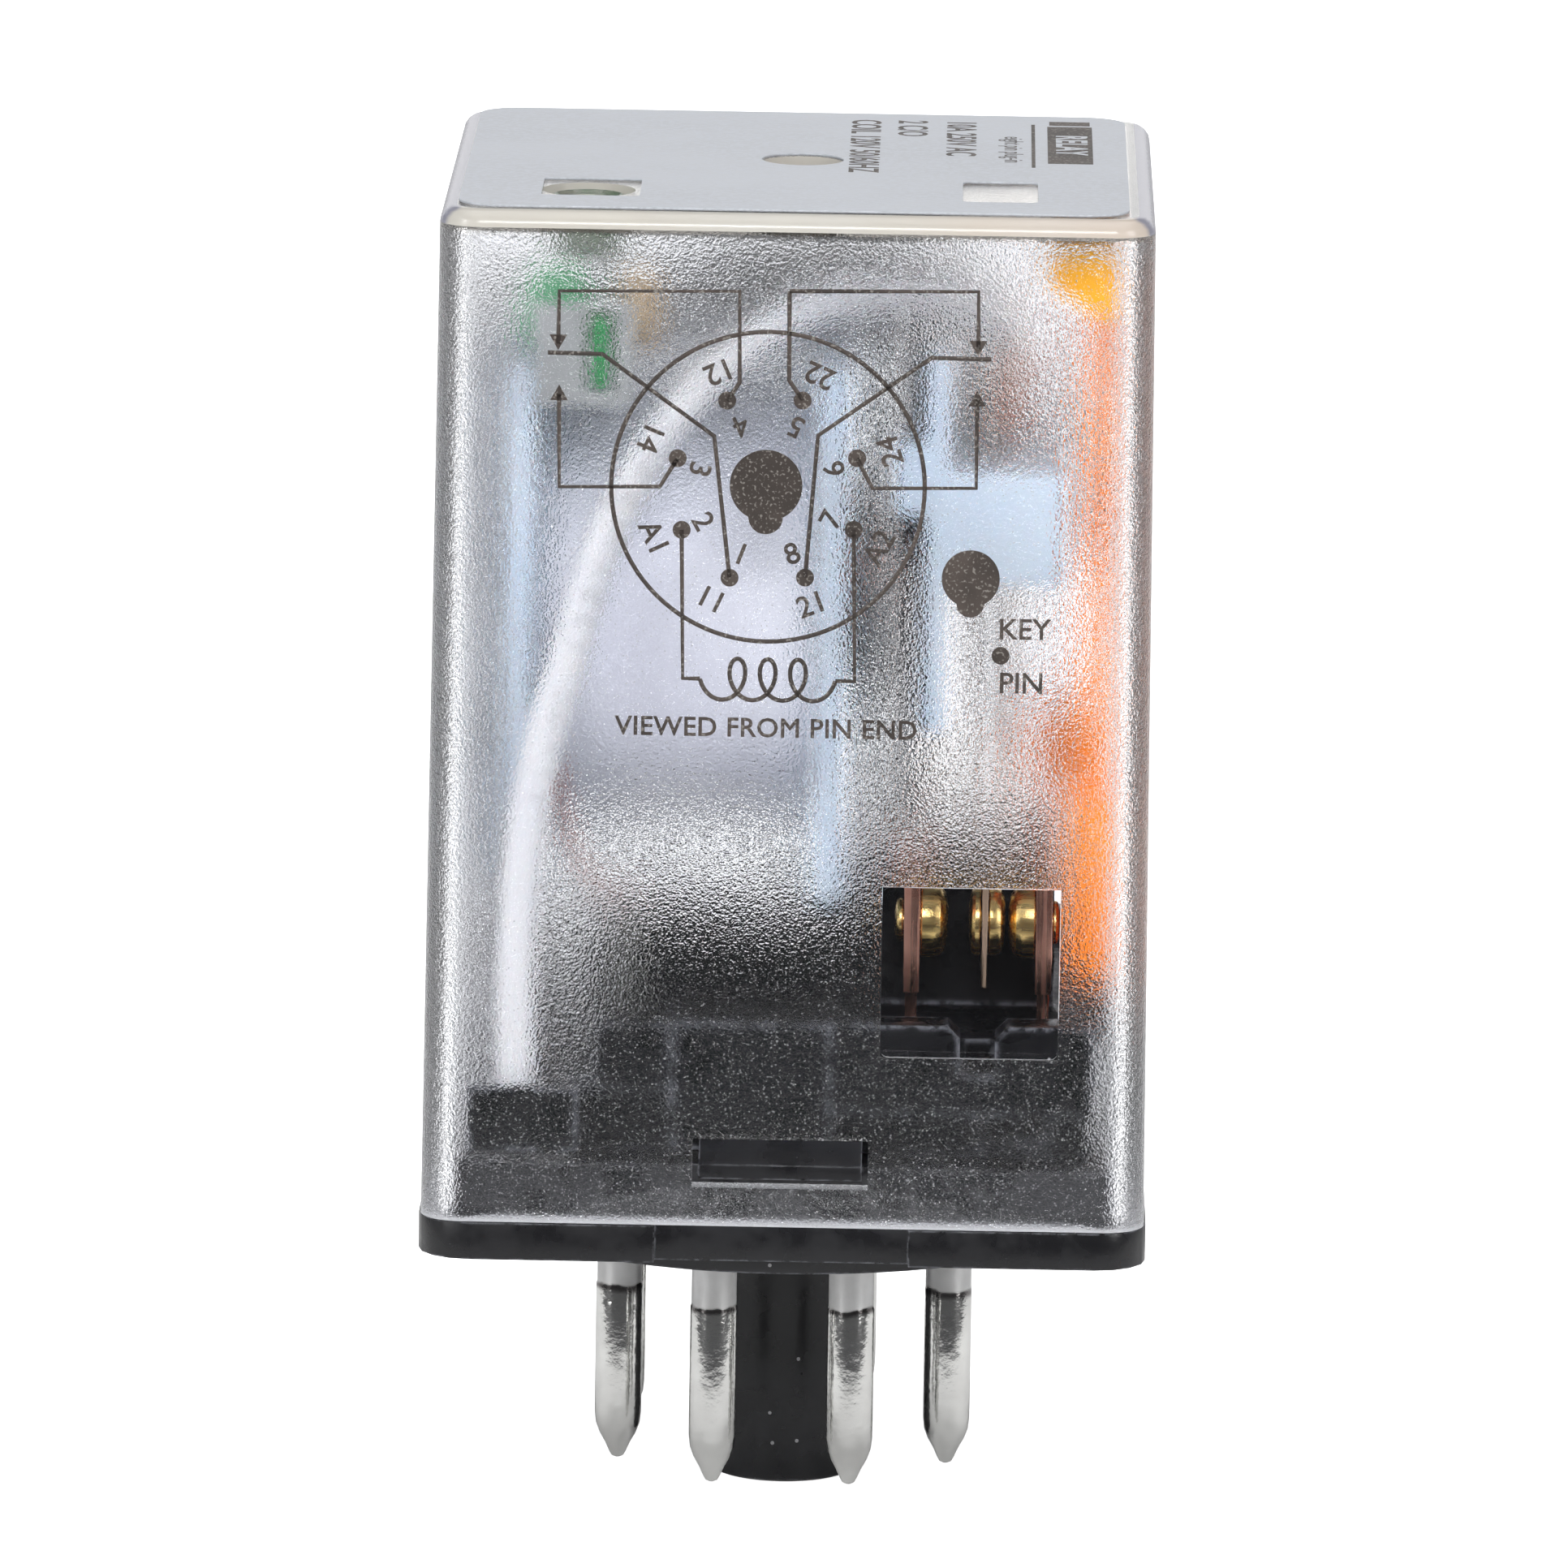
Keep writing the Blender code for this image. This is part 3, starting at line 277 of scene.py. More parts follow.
def grouped(tree, name, **values):
    """Shader group placed in a material with its own values."""
    node = tree.nodes.new("ShaderNodeGroup")
    node.node_tree = bpy.data.node_groups[name]
    for key, value in values.items():
        node.inputs[key.replace("_", " ")].default_value = value
    return node


# ---------------------------------------------------------------- materials

def new_material(name, colour, roughness, metallic=0.0, **sockets):
    """Principled material; sockets are given by name with underscores for spaces."""
    material = bpy.data.materials.new(name)
    material.use_nodes = True
    tree = material.node_tree
    shader = tree.nodes["Principled BSDF"]
    shader.inputs["Base Color"].default_value = (*colour, 1.0)
    shader.inputs["Roughness"].default_value = roughness
    shader.inputs["Metallic"].default_value = metallic
    for key, value in sockets.items():
        shader.inputs[key.replace("_", " ")].default_value = value
    return material, tree, shader


def add_bump(tree, shader, height, distance):
    """Bump from a height socket."""
    bump = add_node(tree, "Bump", {"Distance": distance})
    tree.links.new(height, bump.inputs["Height"])
    tree.links.new(bump.outputs["Normal"], shader.inputs["Normal"])


MOULD_GRAIN = 0.000006     # how deep the mould's grain goes, metres


def moulded_plastic(name, colour, roughness=0.42, tint=(1.12, 1.10, 1.08), sss=0.0):
    """Moulded opaque plastic: fine grain, slow colour drift, faintly polished patches."""
    material, tree, shader = new_material(name, colour, roughness, IOR=1.5)
    if sss:
        shader.inputs["Subsurface Weight"].default_value = sss
        shader.inputs["Subsurface Scale"].default_value = 0.001
    grain = grouped(tree, "relay_grain", Scale=4200.0, Coarse_Scale=160.0)
    drift = mix_colour(tree, grain.outputs["Mask"], colour, [c * t for c, t in zip(colour, tint)])
    tree.links.new(drift, shader.inputs["Base Color"])
    tree.links.new(ramp(tree, grain.outputs["Mask"], 0.0, 1.0, roughness - 0.06, roughness + 0.07),
                   shader.inputs["Roughness"])
    add_bump(tree, shader, grain.outputs["Height"], MOULD_GRAIN)
    return material


def black_phenolic(name, shade, gloss, edges, width, specks):
    """Black moulding: shade of the set black, gloss, painted highlights along the edges and their width,
    pale specks.
    """
    colour = tuple(c * shade for c in colours().black)
    material, tree, shader = new_material(name, colour, 0.33, IOR=1.5, Specular_IOR_Level=gloss)
    grain = grouped(tree, "relay_grain", Scale=3000.0, Coarse_Scale=420.0)
    edge_highlight = grouped(tree, "relay_edge_highlight", Width=width, Break_Up=1300.0, Amount=edges)
    dust_and_glints = grouped(tree, "relay_dust_and_glints", Scale=1500.0, Size=0.14, Share=specks)
    mottled = mix_colour(tree, grain.outputs["Mask"], colour, [c * 1.5 for c in colour])
    # Painted highlight: a pale grey along the rounded edges stands in for the light that they catch.
    with_edge_highlight = mix_colour(tree, edge_highlight.outputs["Mask"], mottled, (0.34, 0.35, 0.39))
    specked = mix_colour(tree, product(tree, dust_and_glints.outputs["Mask"], 0.45), with_edge_highlight, (0.55, 0.55, 0.57))
    tree.links.new(specked, shader.inputs["Base Color"])
    rough = maths(tree, "ADD", ramp(tree, grain.outputs["Mask"], 0.0, 1.0, 0.24, 0.40),
                  product(tree, edge_highlight.outputs["Mask"], 0.3))
    tree.links.new(rough, shader.inputs["Roughness"])
    add_bump(tree, shader, grain.outputs["Height"], 0.000008)
    return material


def rolled_metal(name, colour, roughness, along="Z", streak=0.35, tarnish=None):
    """Metal with drawn streaks along one axis, and tarnish in patches."""
    material, tree, shader = new_material(name, colour, roughness, 1.0)
    place = add_node(tree, "TexCoord")
    stretch = add_node(tree, "Mapping")
    scale = {"X": (60.0, 3500.0, 3500.0), "Y": (3500.0, 60.0, 3500.0), "Z": (3500.0, 3500.0, 60.0)}[along]
    stretch.inputs["Scale"].default_value = scale
    tree.links.new(place.outputs["Object"], stretch.inputs["Vector"])
    lines = add_node(tree, "TexNoise", {"Scale": 1.0, "Detail": 3.0, "Roughness": 0.6})
    tree.links.new(stretch.outputs["Vector"], lines.inputs["Vector"])
    grain = grouped(tree, "relay_grain", Scale=2500.0, Coarse_Scale=320.0)
    tarnish = tarnish or [c * 0.75 for c in colour]
    base = mix_colour(tree, grain.outputs["Mask"], colour, tarnish)
    tree.links.new(base, shader.inputs["Base Color"])
    dull = ramp(tree, lines.outputs["Fac"], 0.3, 0.7, roughness * (1 - streak), roughness * (1 + streak))
    tree.links.new(dull, shader.inputs["Roughness"])
    add_bump(tree, shader, lines.outputs["Fac"], 0.000003)
    return material


def box_mask(tree, split, limits, soft):
    """1 inside limits of the object's X and Z, in mm, 0 outside, with soft edges."""
    inside = []
    for axis, (low, high) in zip(("X", "Z"), limits):
        away = maths(tree, "ABSOLUTE", maths(tree, "SUBTRACT", split.outputs[axis], (low + high) / 2 * MM))
        half = (high - low) / 2 * MM
        inside.append(ramp(tree, away, half + soft, half))
    return product(tree, *inside)


def painted_glints_and_foot_line_over(tree, shader, amount):
    """Matt white laid over a shader by a mask: painted glints, and the pale line at the foot."""
    white = add_node(tree, "BsdfDiffuse", {"Color": (0.72, 0.73, 0.76, 1.0)})
    mix = add_node(tree, "MixShader")
    tree.links.new(amount, mix.inputs[0])
    tree.links.new(shader.outputs[0], mix.inputs[1])
    tree.links.new(white.outputs[0], mix.inputs[2])
    return mix


def through_glass(tree, shader):
    """Let the lamps' light through a clear piece, as thin clear plastic does."""
    output = tree.nodes["Material Output"]
    path = add_node(tree, "LightPath")
    clear = add_node(tree, "BsdfTransparent", {"Color": (0.94, 0.945, 0.96, 1.0)})
    mix = add_node(tree, "MixShader")
    tree.links.new(path.outputs["Is Shadow Ray"], mix.inputs[0])
    tree.links.new(shader.outputs[0], mix.inputs[1])
    tree.links.new(clear.outputs[0], mix.inputs[2])
    tree.links.new(mix.outputs[0], output.inputs["Surface"])


FRONT_Y = -0.0160                 # the front face lies in front of this, metres
TOP_EDGE_Z = (0.0503, 0.0509)     # heights over which the grain fades into the rim
FOOT_Z = (0.00300, 0.00270)       # heights over which the pale line at the foot comes in


def textured_clear():
    """Outside of the cover: spark-eroded grain, except on the polished window, cream at the top edge."""
    colour = tuple(colours().plastic)
    material, tree, shader = new_material("clear_cover_outside", colour, 0.16, IOR=1.52,
                                          Transmission_Weight=1.0)
    place, split = object_place(tree)
    window = box_mask(tree, split, VIEW_WINDOW, SEAM * MM)
    front = maths(tree, "LESS_THAN", split.outputs["Y"], FRONT_Y)
    polished = product(tree, window, front)
    fine = add_node(tree, "TexNoise", {"Scale": 9500.0, "Detail": 1.0, "Roughness": 0.5})
    pits = add_node(tree, "TexVoronoi", {"Scale": 5200.0, "Randomness": 1.0})
    for node in (fine, pits):
        tree.links.new(place, node.inputs["Vector"])
    rim = ramp(tree, split.outputs["Z"], *TOP_EDGE_Z)
    plain = maths(tree, "MAXIMUM", polished, product(tree, rim, 0.8))
    grained = maths(tree, "SUBTRACT", 1.0, plain)
    tree.links.new(ramp(tree, plain, 0.0, 1.0, 0.085, 0.03), shader.inputs["Roughness"])
    tree.links.new(mix_colour(tree, rim, colour, (0.93, 0.88, 0.80)), shader.inputs["Base Color"])
    rough = maths(tree, "ADD", fine.outputs["Fac"], product(tree, pits.outputs["Distance"], 0.55))
    add_bump(tree, shader, product(tree, rough, grained), 0.00006)
    # Painted glints: matt white specks over the grain stand in for the glints of the spark-eroded surface.
    dust_and_glints = grouped(tree, "relay_dust_and_glints", Scale=4300.0, Size=0.18, Share=0.55)
    specks = product(tree, dust_and_glints.outputs["Mask"], grained, 0.36)
    foot = ramp(tree, split.outputs["Z"], *FOOT_Z, 0.0, 0.4)
    through_glass(tree, painted_glints_and_foot_line_over(tree, shader, maths(tree, "MAXIMUM", specks, foot)))
    return material


SIDE_RIM_X = (0.0158, 0.0162)     # where the front's rim gives way to a side's, metres
SIDE_RIM_Y = (0.0163, 0.0159)


def rim_material():
    """Rounded top edge of the cover: warm along the front, grey along the sides."""
    material, tree, shader = new_material("warm_cover_rim", (0.62, 0.58, 0.52), 0.22, IOR=1.45,
                                          Transmission_Weight=0.12)
    grain = grouped(tree, "relay_grain", Scale=1500.0, Coarse_Scale=75.0)
    _, split = object_place(tree)
    out, forward = (maths(tree, "ABSOLUTE", split.outputs[axis]) for axis in ("X", "Y"))
    sideways = product(tree, ramp(tree, out, *SIDE_RIM_X), ramp(tree, forward, *SIDE_RIM_Y))
    warmth = ramp(tree, split.outputs["X"], 0.002, 0.016)
    cream = mix_colour(tree, warmth, (0.62, 0.59, 0.53), (0.66, 0.55, 0.46))
    cloudy = mix_colour(tree, product(tree, grain.outputs["Mask"], 0.3), cream, (0.70, 0.69, 0.66))
    tree.links.new(mix_colour(tree, sideways, cloudy, (0.30, 0.30, 0.36)), shader.inputs["Base Color"])
    add_bump(tree, shader, grain.outputs["Height"], 0.00001)
    return material


def smooth_clear():
    """Inside of the cover: moulded smooth, with faint flow marks."""
    material, tree, shader = new_material("clear_cover_inside", tuple(colours().plastic), 0.03, IOR=1.52,
                                          Transmission_Weight=1.0)
    grain = grouped(tree, "relay_grain", Scale=500.0, Coarse_Scale=90.0)
    tree.links.new(ramp(tree, grain.outputs["Mask"], 0.0, 1.0, 0.03, 0.07), shader.inputs["Roughness"])
    add_bump(tree, shader, grain.outputs["Height"], 0.00001)
    through_glass(tree, shader)
    return material


def lens_material():
    """Light pipe: clear, with a painted reflection of the lamp's green carried up to its face."""
    material, tree, shader = new_material("lens_with_painted_lamp_green", (0.34, 0.40, 0.33), 0.06, IOR=1.5,
                                          Transmission_Weight=0.7)
    grain = grouped(tree, "relay_grain", Scale=700.0, Coarse_Scale=420.0)
    tree.links.new(mix_colour(tree, grain.outputs["Mask"], (0.20, 0.30, 0.20), (0.42, 0.42, 0.38)),
                   shader.inputs["Base Color"])
    add_bump(tree, shader, grain.outputs["Height"], 0.00003)
    through_glass(tree, shader)
    return material


def film_material():
    """Silver-grey film: matt grain, slow cloudiness."""
    colour = tuple(colours().film)
    material, tree, shader = new_material("silver_grey_film", colour, 0.42, Specular_IOR_Level=0.35)
    grain = grouped(tree, "relay_grain", Scale=3600.0, Coarse_Scale=90.0)
    cloudy = mix_colour(tree, grain.outputs["Mask"], colour, [c * 1.1 for c in colour])
    speckled = mix_colour(tree, ramp(tree, grain.outputs["Height"], 0.35, 0.65), cloudy,
                          [c * 1.22 for c in colour])
    tree.links.new(speckled, shader.inputs["Base Color"])
    tree.links.new(ramp(tree, grain.outputs["Height"], 0.3, 0.7, 0.36, 0.54), shader.inputs["Roughness"])
    add_bump(tree, shader, grain.outputs["Height"], 0.00001)
    return material


def ink_material(name, colour, spot):
    """Printed ink, speckled where what is under it shows through."""
    material, tree, shader = new_material(name, colour, 0.55)
    place = add_node(tree, "TexCoord")
    cells = add_node(tree, "TexNoise", {"Scale": 7000.0, "Detail": 1.0})
    tree.links.new(place.outputs["Object"], cells.inputs["Vector"])
    grain = grouped(tree, "relay_grain", Scale=900.0, Coarse_Scale=250.0)
    worn = mix_colour(tree, grain.outputs["Mask"], colour, [c * 1.8 for c in colour])
    spots = ramp(tree, cells.outputs["Fac"], 0.56, 0.70)
    tree.links.new(mix_colour(tree, spots, worn, spot), shader.inputs["Base Color"])
    add_bump(tree, shader, cells.outputs["Fac"], 0.00001)
    return material


DIP_LINE_Z = (-0.00335, -0.00315)     # where a pin's bright dip gives way to matt plating, metres
DARK_BAND_Z = (-0.0037, -0.0034)      # dark reflection just under that line


def pin_material():
    """Tin plating: matt and grey above the dip line, bright and dimpled below it."""
    bright = (0.78, 0.78, 0.76)
    material, tree, shader = new_material("tinned_pin", bright, 0.16, 1.0)
    _, split = object_place(tree)
    grain = grouped(tree, "relay_grain", Scale=1500.0, Coarse_Scale=420.0, Detail=3.0)
    wavy = maths(tree, "ADD", split.outputs["Z"], product(tree, grain.outputs["Mask"], 0.0002))
    upper = ramp(tree, wavy, *DIP_LINE_Z)
    band = product(tree, ramp(tree, wavy, *DARK_BAND_Z), maths(tree, "SUBTRACT", 1.0, upper))
    colour = mix_colour(tree, upper, bright, (0.86, 0.86, 0.86))
    colour = mix_colour(tree, band, colour, (0.12, 0.11, 0.11))
    dulled = mix_colour(tree, product(tree, grain.outputs["Mask"], 0.25), colour, (0.45, 0.44, 0.43))
    tree.links.new(dulled, shader.inputs["Base Color"])
    tree.links.new(maths(tree, "ADD", ramp(tree, upper, 0.0, 1.0, 0.11, 0.42),
                         product(tree, grain.outputs["Height"], 0.08)), shader.inputs["Roughness"])
    tree.links.new(ramp(tree, upper, 0.0, 1.0, 1.0, 0.45), shader.inputs["Metallic"])
    add_bump(tree, shader, grain.outputs["Height"], 0.00003)
    return material


def tape_material():
    """Pale polyester tape over the winding, with the lap of each turn."""
    colour = (0.66, 0.67, 0.75)
    material, tree, shader = new_material("winding_tape", colour, 0.28, Coat_Weight=0.3)
    place = add_node(tree, "TexCoord")
    bands = add_node(tree, "TexWave", {"Scale": 62.0, "Distortion": 0.6, "Detail": 1.0},
                     bands_direction="X")
    tree.links.new(place.outputs["Object"], bands.inputs["Vector"])
    grain = grouped(tree, "relay_grain", Scale=700.0, Coarse_Scale=110.0)
    lap = ramp(tree, bands.outputs["Fac"], 0.9, 1.0)
    tone = mix_colour(tree, grain.outputs["Mask"], colour, (0.74, 0.75, 0.81))
    tree.links.new(mix_colour(tree, product(tree, lap, 0.35), tone, (0.45, 0.45, 0.52)),
                   shader.inputs["Base Color"])
    add_bump(tree, shader, bands.outputs["Fac"], 0.00004)
    return material


def lamp_material():
    """Clear green resin."""
    material, tree, shader = new_material("green_resin", tuple(colours().green), 0.12, IOR=1.5,
                                          Transmission_Weight=0.45)
    grain = grouped(tree, "relay_grain", Scale=900.0, Coarse_Scale=300.0)
    tree.links.new(ramp(tree, grain.outputs["Mask"], 0.0, 1.0, 0.1, 0.22), shader.inputs["Roughness"])
    add_bump(tree, shader, grain.outputs["Height"], 0.00001)
    return material


def make_materials():
    """Every finish of the relay, by a short key."""
    make_grain_group()
    make_edge_group()
    make_dust_and_glint_group()
    chosen = colours()
    return {
        "outside": textured_clear(),
        "inside": smooth_clear(),
        "lens": lens_material(),
        "rim": rim_material(),
        "film": film_material(),
        "ink": ink_material("dark_ink", tuple(chosen.ink), (0.22, 0.20, 0.18)),
        "pale_ink": ink_material("pale_grey_ink", (0.36, 0.36, 0.37), (0.6, 0.6, 0.6)),
        "black": black_phenolic("black_phenolic", 0.8, 0.45, 0.55, 0.00016, 0.2),
        # Painted shade: the contact block takes the base's black at a lower shade, darker for its place in
        # shade inside the cover.
        "block": black_phenolic("black_block_in_painted_shade", 0.3, 0.12, 0.5, 0.00055, 0.04),
        "pin": pin_material(),
        "nylon": moulded_plastic("pale_blue_nylon", tuple(chosen.nylon), 0.40, (0.93, 0.97, 1.03), sss=0.15),
        "orange": moulded_plastic("orange_acetal", tuple(chosen.orange), 0.33, (1.0, 1.22, 1.1), sss=0.15),
        "flag": moulded_plastic("yellow_orange_face", (0.98, 0.42, 0.01), 0.35, (1.0, 1.1, 1.0)),
        "white": moulded_plastic("white_insulation", (0.64, 0.64, 0.65), 0.36, (0.96, 0.97, 1.0), sss=0.1),
        "red": moulded_plastic("red_enamelled_lead", (0.26, 0.09, 0.06), 0.3, (1.3, 1.1, 1.0)),
        "grey": moulded_plastic("grey_bracket", (0.27, 0.28, 0.28), 0.42, (1.15, 1.15, 1.15)),
        "board": moulded_plastic("green_board", (0.03, 0.22, 0.08), 0.3, (1.3, 1.2, 1.0)),
        "beige": moulded_plastic("resistor_lacquer", (0.55, 0.42, 0.28), 0.3, (0.9, 0.9, 0.9)),
        "tape": tape_material(),
        "green": lamp_material(),
        "copper": rolled_metal("bare_copper", tuple(chosen.copper), 0.26, "Z", 0.4, (0.72, 0.36, 0.27)),
        "gold": rolled_metal("contact_metal", tuple(chosen.gold), 0.24, "X", 0.4, (0.86, 0.60, 0.24)),
        "winding": rolled_metal("enamelled_winding", (0.60, 0.24, 0.09), 0.28, "Y"),
        "bronze": rolled_metal("spring_bronze", (0.66, 0.47, 0.34), 0.28, "Z"),
        "iron": rolled_metal("plated_iron", (0.66, 0.66, 0.68), 0.55, "Z", 0.3),
        "dark_iron": rolled_metal("dark_armature_iron", (0.10, 0.10, 0.10), 0.42, "Z", 0.3),
        "spring": rolled_metal("spring_wire", (0.62, 0.62, 0.60), 0.22, "X"),
        "tag": rolled_metal("silvery_tag", (0.70, 0.71, 0.66), 0.25, "Z"),
    }


MATERIALS = {}


# ---------------------------------------------------------------- modelling helpers

def deselect():
    """Leave nothing selected."""
    bpy.ops.object.select_all(action="DESELECT")


def only(obj):
    """Select and activate one object."""
    deselect()
    obj.select_set(True)
    bpy.context.view_layer.objects.active = obj


def settle(obj):
    """Put an object's place, turn and scale into its mesh."""
    only(obj)
    bpy.ops.object.transform_apply(location=True, rotation=True, scale=True)


def place_object(name, data):
    """New object with this data, in the scene."""
    obj = bpy.data.objects.new(name, data)
    bpy.context.scene.collection.objects.link(obj)
    return obj


def named_as(obj, name):
    """An object and its mesh, named."""
    obj.name = name
    obj.data.name = name
    return obj


def named(name):
    """The active object, named."""
    return named_as(bpy.context.active_object, name)


def add_box(name, low, high):
    """Box between two corners in mm, settled."""
    deselect()
    centre = [(a + b) / 2 * MM for a, b in zip(low, high)]
    size = [(b - a) * MM for a, b in zip(low, high)]
    bpy.ops.mesh.primitive_cube_add(size=1.0, location=centre, scale=size)
    obj = named(name)
    settle(obj)
    return obj


TURN_TO = {"X": (0.0, QUARTER, 0.0), "Y": (-QUARTER, 0.0, 0.0), "Z": (0.0, 0.0, 0.0)}


def turn_up(name, stations, centre, axis="Z", sides=40):
    """Turned piece from (radius, height) stations in mm, lowest first, extruded from a disc."""
    deselect()
    radius, height = stations[0]
    bpy.ops.mesh.primitive_circle_add(vertices=sides, radius=radius * MM, fill_type="NGON",
                                      location=(0.0, 0.0, height * MM))
    obj = named(name)
    settle(obj)
    bpy.ops.object.mode_set(mode="EDIT")
    bpy.ops.mesh.select_all(action="SELECT")
    for new_radius, new_height in stations[1:]:
        rise = (0.0, 0.0, (new_height - height) * MM)
        bpy.ops.mesh.extrude_region_move(TRANSFORM_OT_translate={"value": rise})
        factor = new_radius / radius
        if abs(factor - 1.0) > 0.0001:
            bpy.ops.transform.resize(value=(factor, factor, 1.0),
                                     center_override=(0.0, 0.0, new_height * MM))
        radius, height = new_radius, new_height
    bpy.ops.mesh.select_all(action="SELECT")
    bpy.ops.mesh.normals_make_consistent(inside=False)
    bpy.ops.object.mode_set(mode="OBJECT")
    obj.rotation_euler = TURN_TO[axis]
    obj.location = Vector(centre) * MM
    settle(obj)
    bpy.ops.object.shade_smooth_by_angle(angle=math.radians(32))
    return obj


def apply_modifier(obj, kind, name, **settings):
    """Add a modifier with its settings and apply it."""
    only(obj)
    modifier = obj.modifiers.new(name, kind)
    for key, value in settings.items():
        setattr(modifier, key, value)
    bpy.ops.object.modifier_apply(modifier=modifier.name)


def soften(obj, width, segments):
    """Round the sharp edges and shade smooth."""
    apply_modifier(obj, "BEVEL", "soft_edges", width=width * MM, segments=segments, limit_method="ANGLE",
                   angle_limit=math.radians(30), miter_outer="MITER_ARC", harden_normals=False)
    only(obj)
    bpy.ops.object.shade_smooth_by_angle(angle=math.radians(35))


def weld(obj):
    """Merge a mesh's doubles and face it outwards."""
    only(obj)
    bpy.ops.object.mode_set(mode="EDIT")
    bpy.ops.mesh.select_all(action="SELECT")
    bpy.ops.mesh.remove_doubles(threshold=0.000001)
    bpy.ops.mesh.normals_make_consistent(inside=False)
    bpy.ops.object.mode_set(mode="OBJECT")


def curve_mesh(name, lines, closed=False, **settings):
    """Mesh of a curve with its settings, through lines of points in mm."""
    curve = bpy.data.curves.new(name, "CURVE")
    for key, value in settings.items():
        setattr(curve, key, value)
    for line in lines:
        spline = curve.splines.new("POLY")
        spline.points.add(len(line) - 1)
        for knot, (x, y, z) in zip(spline.points, line):
            knot.co = (x * MM, y * MM, z * MM, 1.0)
        spline.use_cyclic_u = closed
    only(place_object(name, curve))
    bpy.ops.object.convert(target="MESH")
    return bpy.context.active_object


def ring(centre, radius, steps, count):
    """So many of the points, steps to the turn, of a circle in a plane."""
    return [(centre[0] + radius * math.cos(angle), centre[1] + radius * math.sin(angle))
            for angle in (math.tau * step / steps for step in range(count))]


def carve(obj, *cutters):
    """Cut each cutter away, and remove it."""
    for cutter in cutters:
        apply_modifier(obj, "BOOLEAN", "carve", operation="DIFFERENCE", object=cutter)
        bpy.data.objects.remove(cutter, do_unlink=True)


def finish_piece(obj, material, body="root", stands_for=()):
    """Give a piece its finish and its body, and hide the CAD nodes that it stands for."""
    if isinstance(material, str):
        obj.data.materials.clear()
        obj.data.materials.append(MATERIALS[material])
    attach(obj, body)
    if stands_for:
        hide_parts(*stands_for)
    return obj


def refine(node, name, material, width, body="root", segments=2):
    """Finer copy of a CAD node: welded, its flats rejoined, its edges rounded."""
    piece = place_object(name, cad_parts[node].data.copy())
    only(piece)
    bpy.ops.object.mode_set(mode="EDIT")
    bpy.ops.mesh.select_all(action="SELECT")
    bpy.ops.mesh.remove_doubles(threshold=0.000002)
    bpy.ops.mesh.dissolve_limited(angle_limit=math.radians(1.0))
    bpy.ops.object.mode_set(mode="OBJECT")
    for polygon in piece.data.polygons:
        polygon.material_index = 0
    soften(piece, width, segments)
    return finish_piece(piece, material, body, (node,))


def join_pieces(pieces, name):
    """Join several pieces into one mesh."""
    deselect()
    for piece in pieces:
        piece.select_set(True)
    bpy.context.view_layer.objects.active = pieces[0]
    bpy.ops.object.join()
    return named(name)


# ---------------------------------------------------------------- cover

def half_side(height):
    """Half the cover's outer width at a height, in mm."""
    share = (height - COVER_LOW.z) / (COVER_HIGH.z - COVER_LOW.z)
    return COVER_HIGH.x - share * COVER_DRAFT


def select_edges(obj, wanted):
    """Select the edges whose two ends pass a test; edit mode is left again."""
    bpy.ops.object.mode_set(mode="EDIT")
    bpy.ops.mesh.select_all(action="DESELECT")
    bpy.ops.mesh.select_mode(type="EDGE")
    bpy.ops.object.mode_set(mode="OBJECT")
    vertices = obj.data.vertices
    for edge in obj.data.edges:
        edge.select = wanted(vertices[edge.vertices[0]].co, vertices[edge.vertices[1]].co)
    bpy.ops.object.mode_set(mode="EDIT")


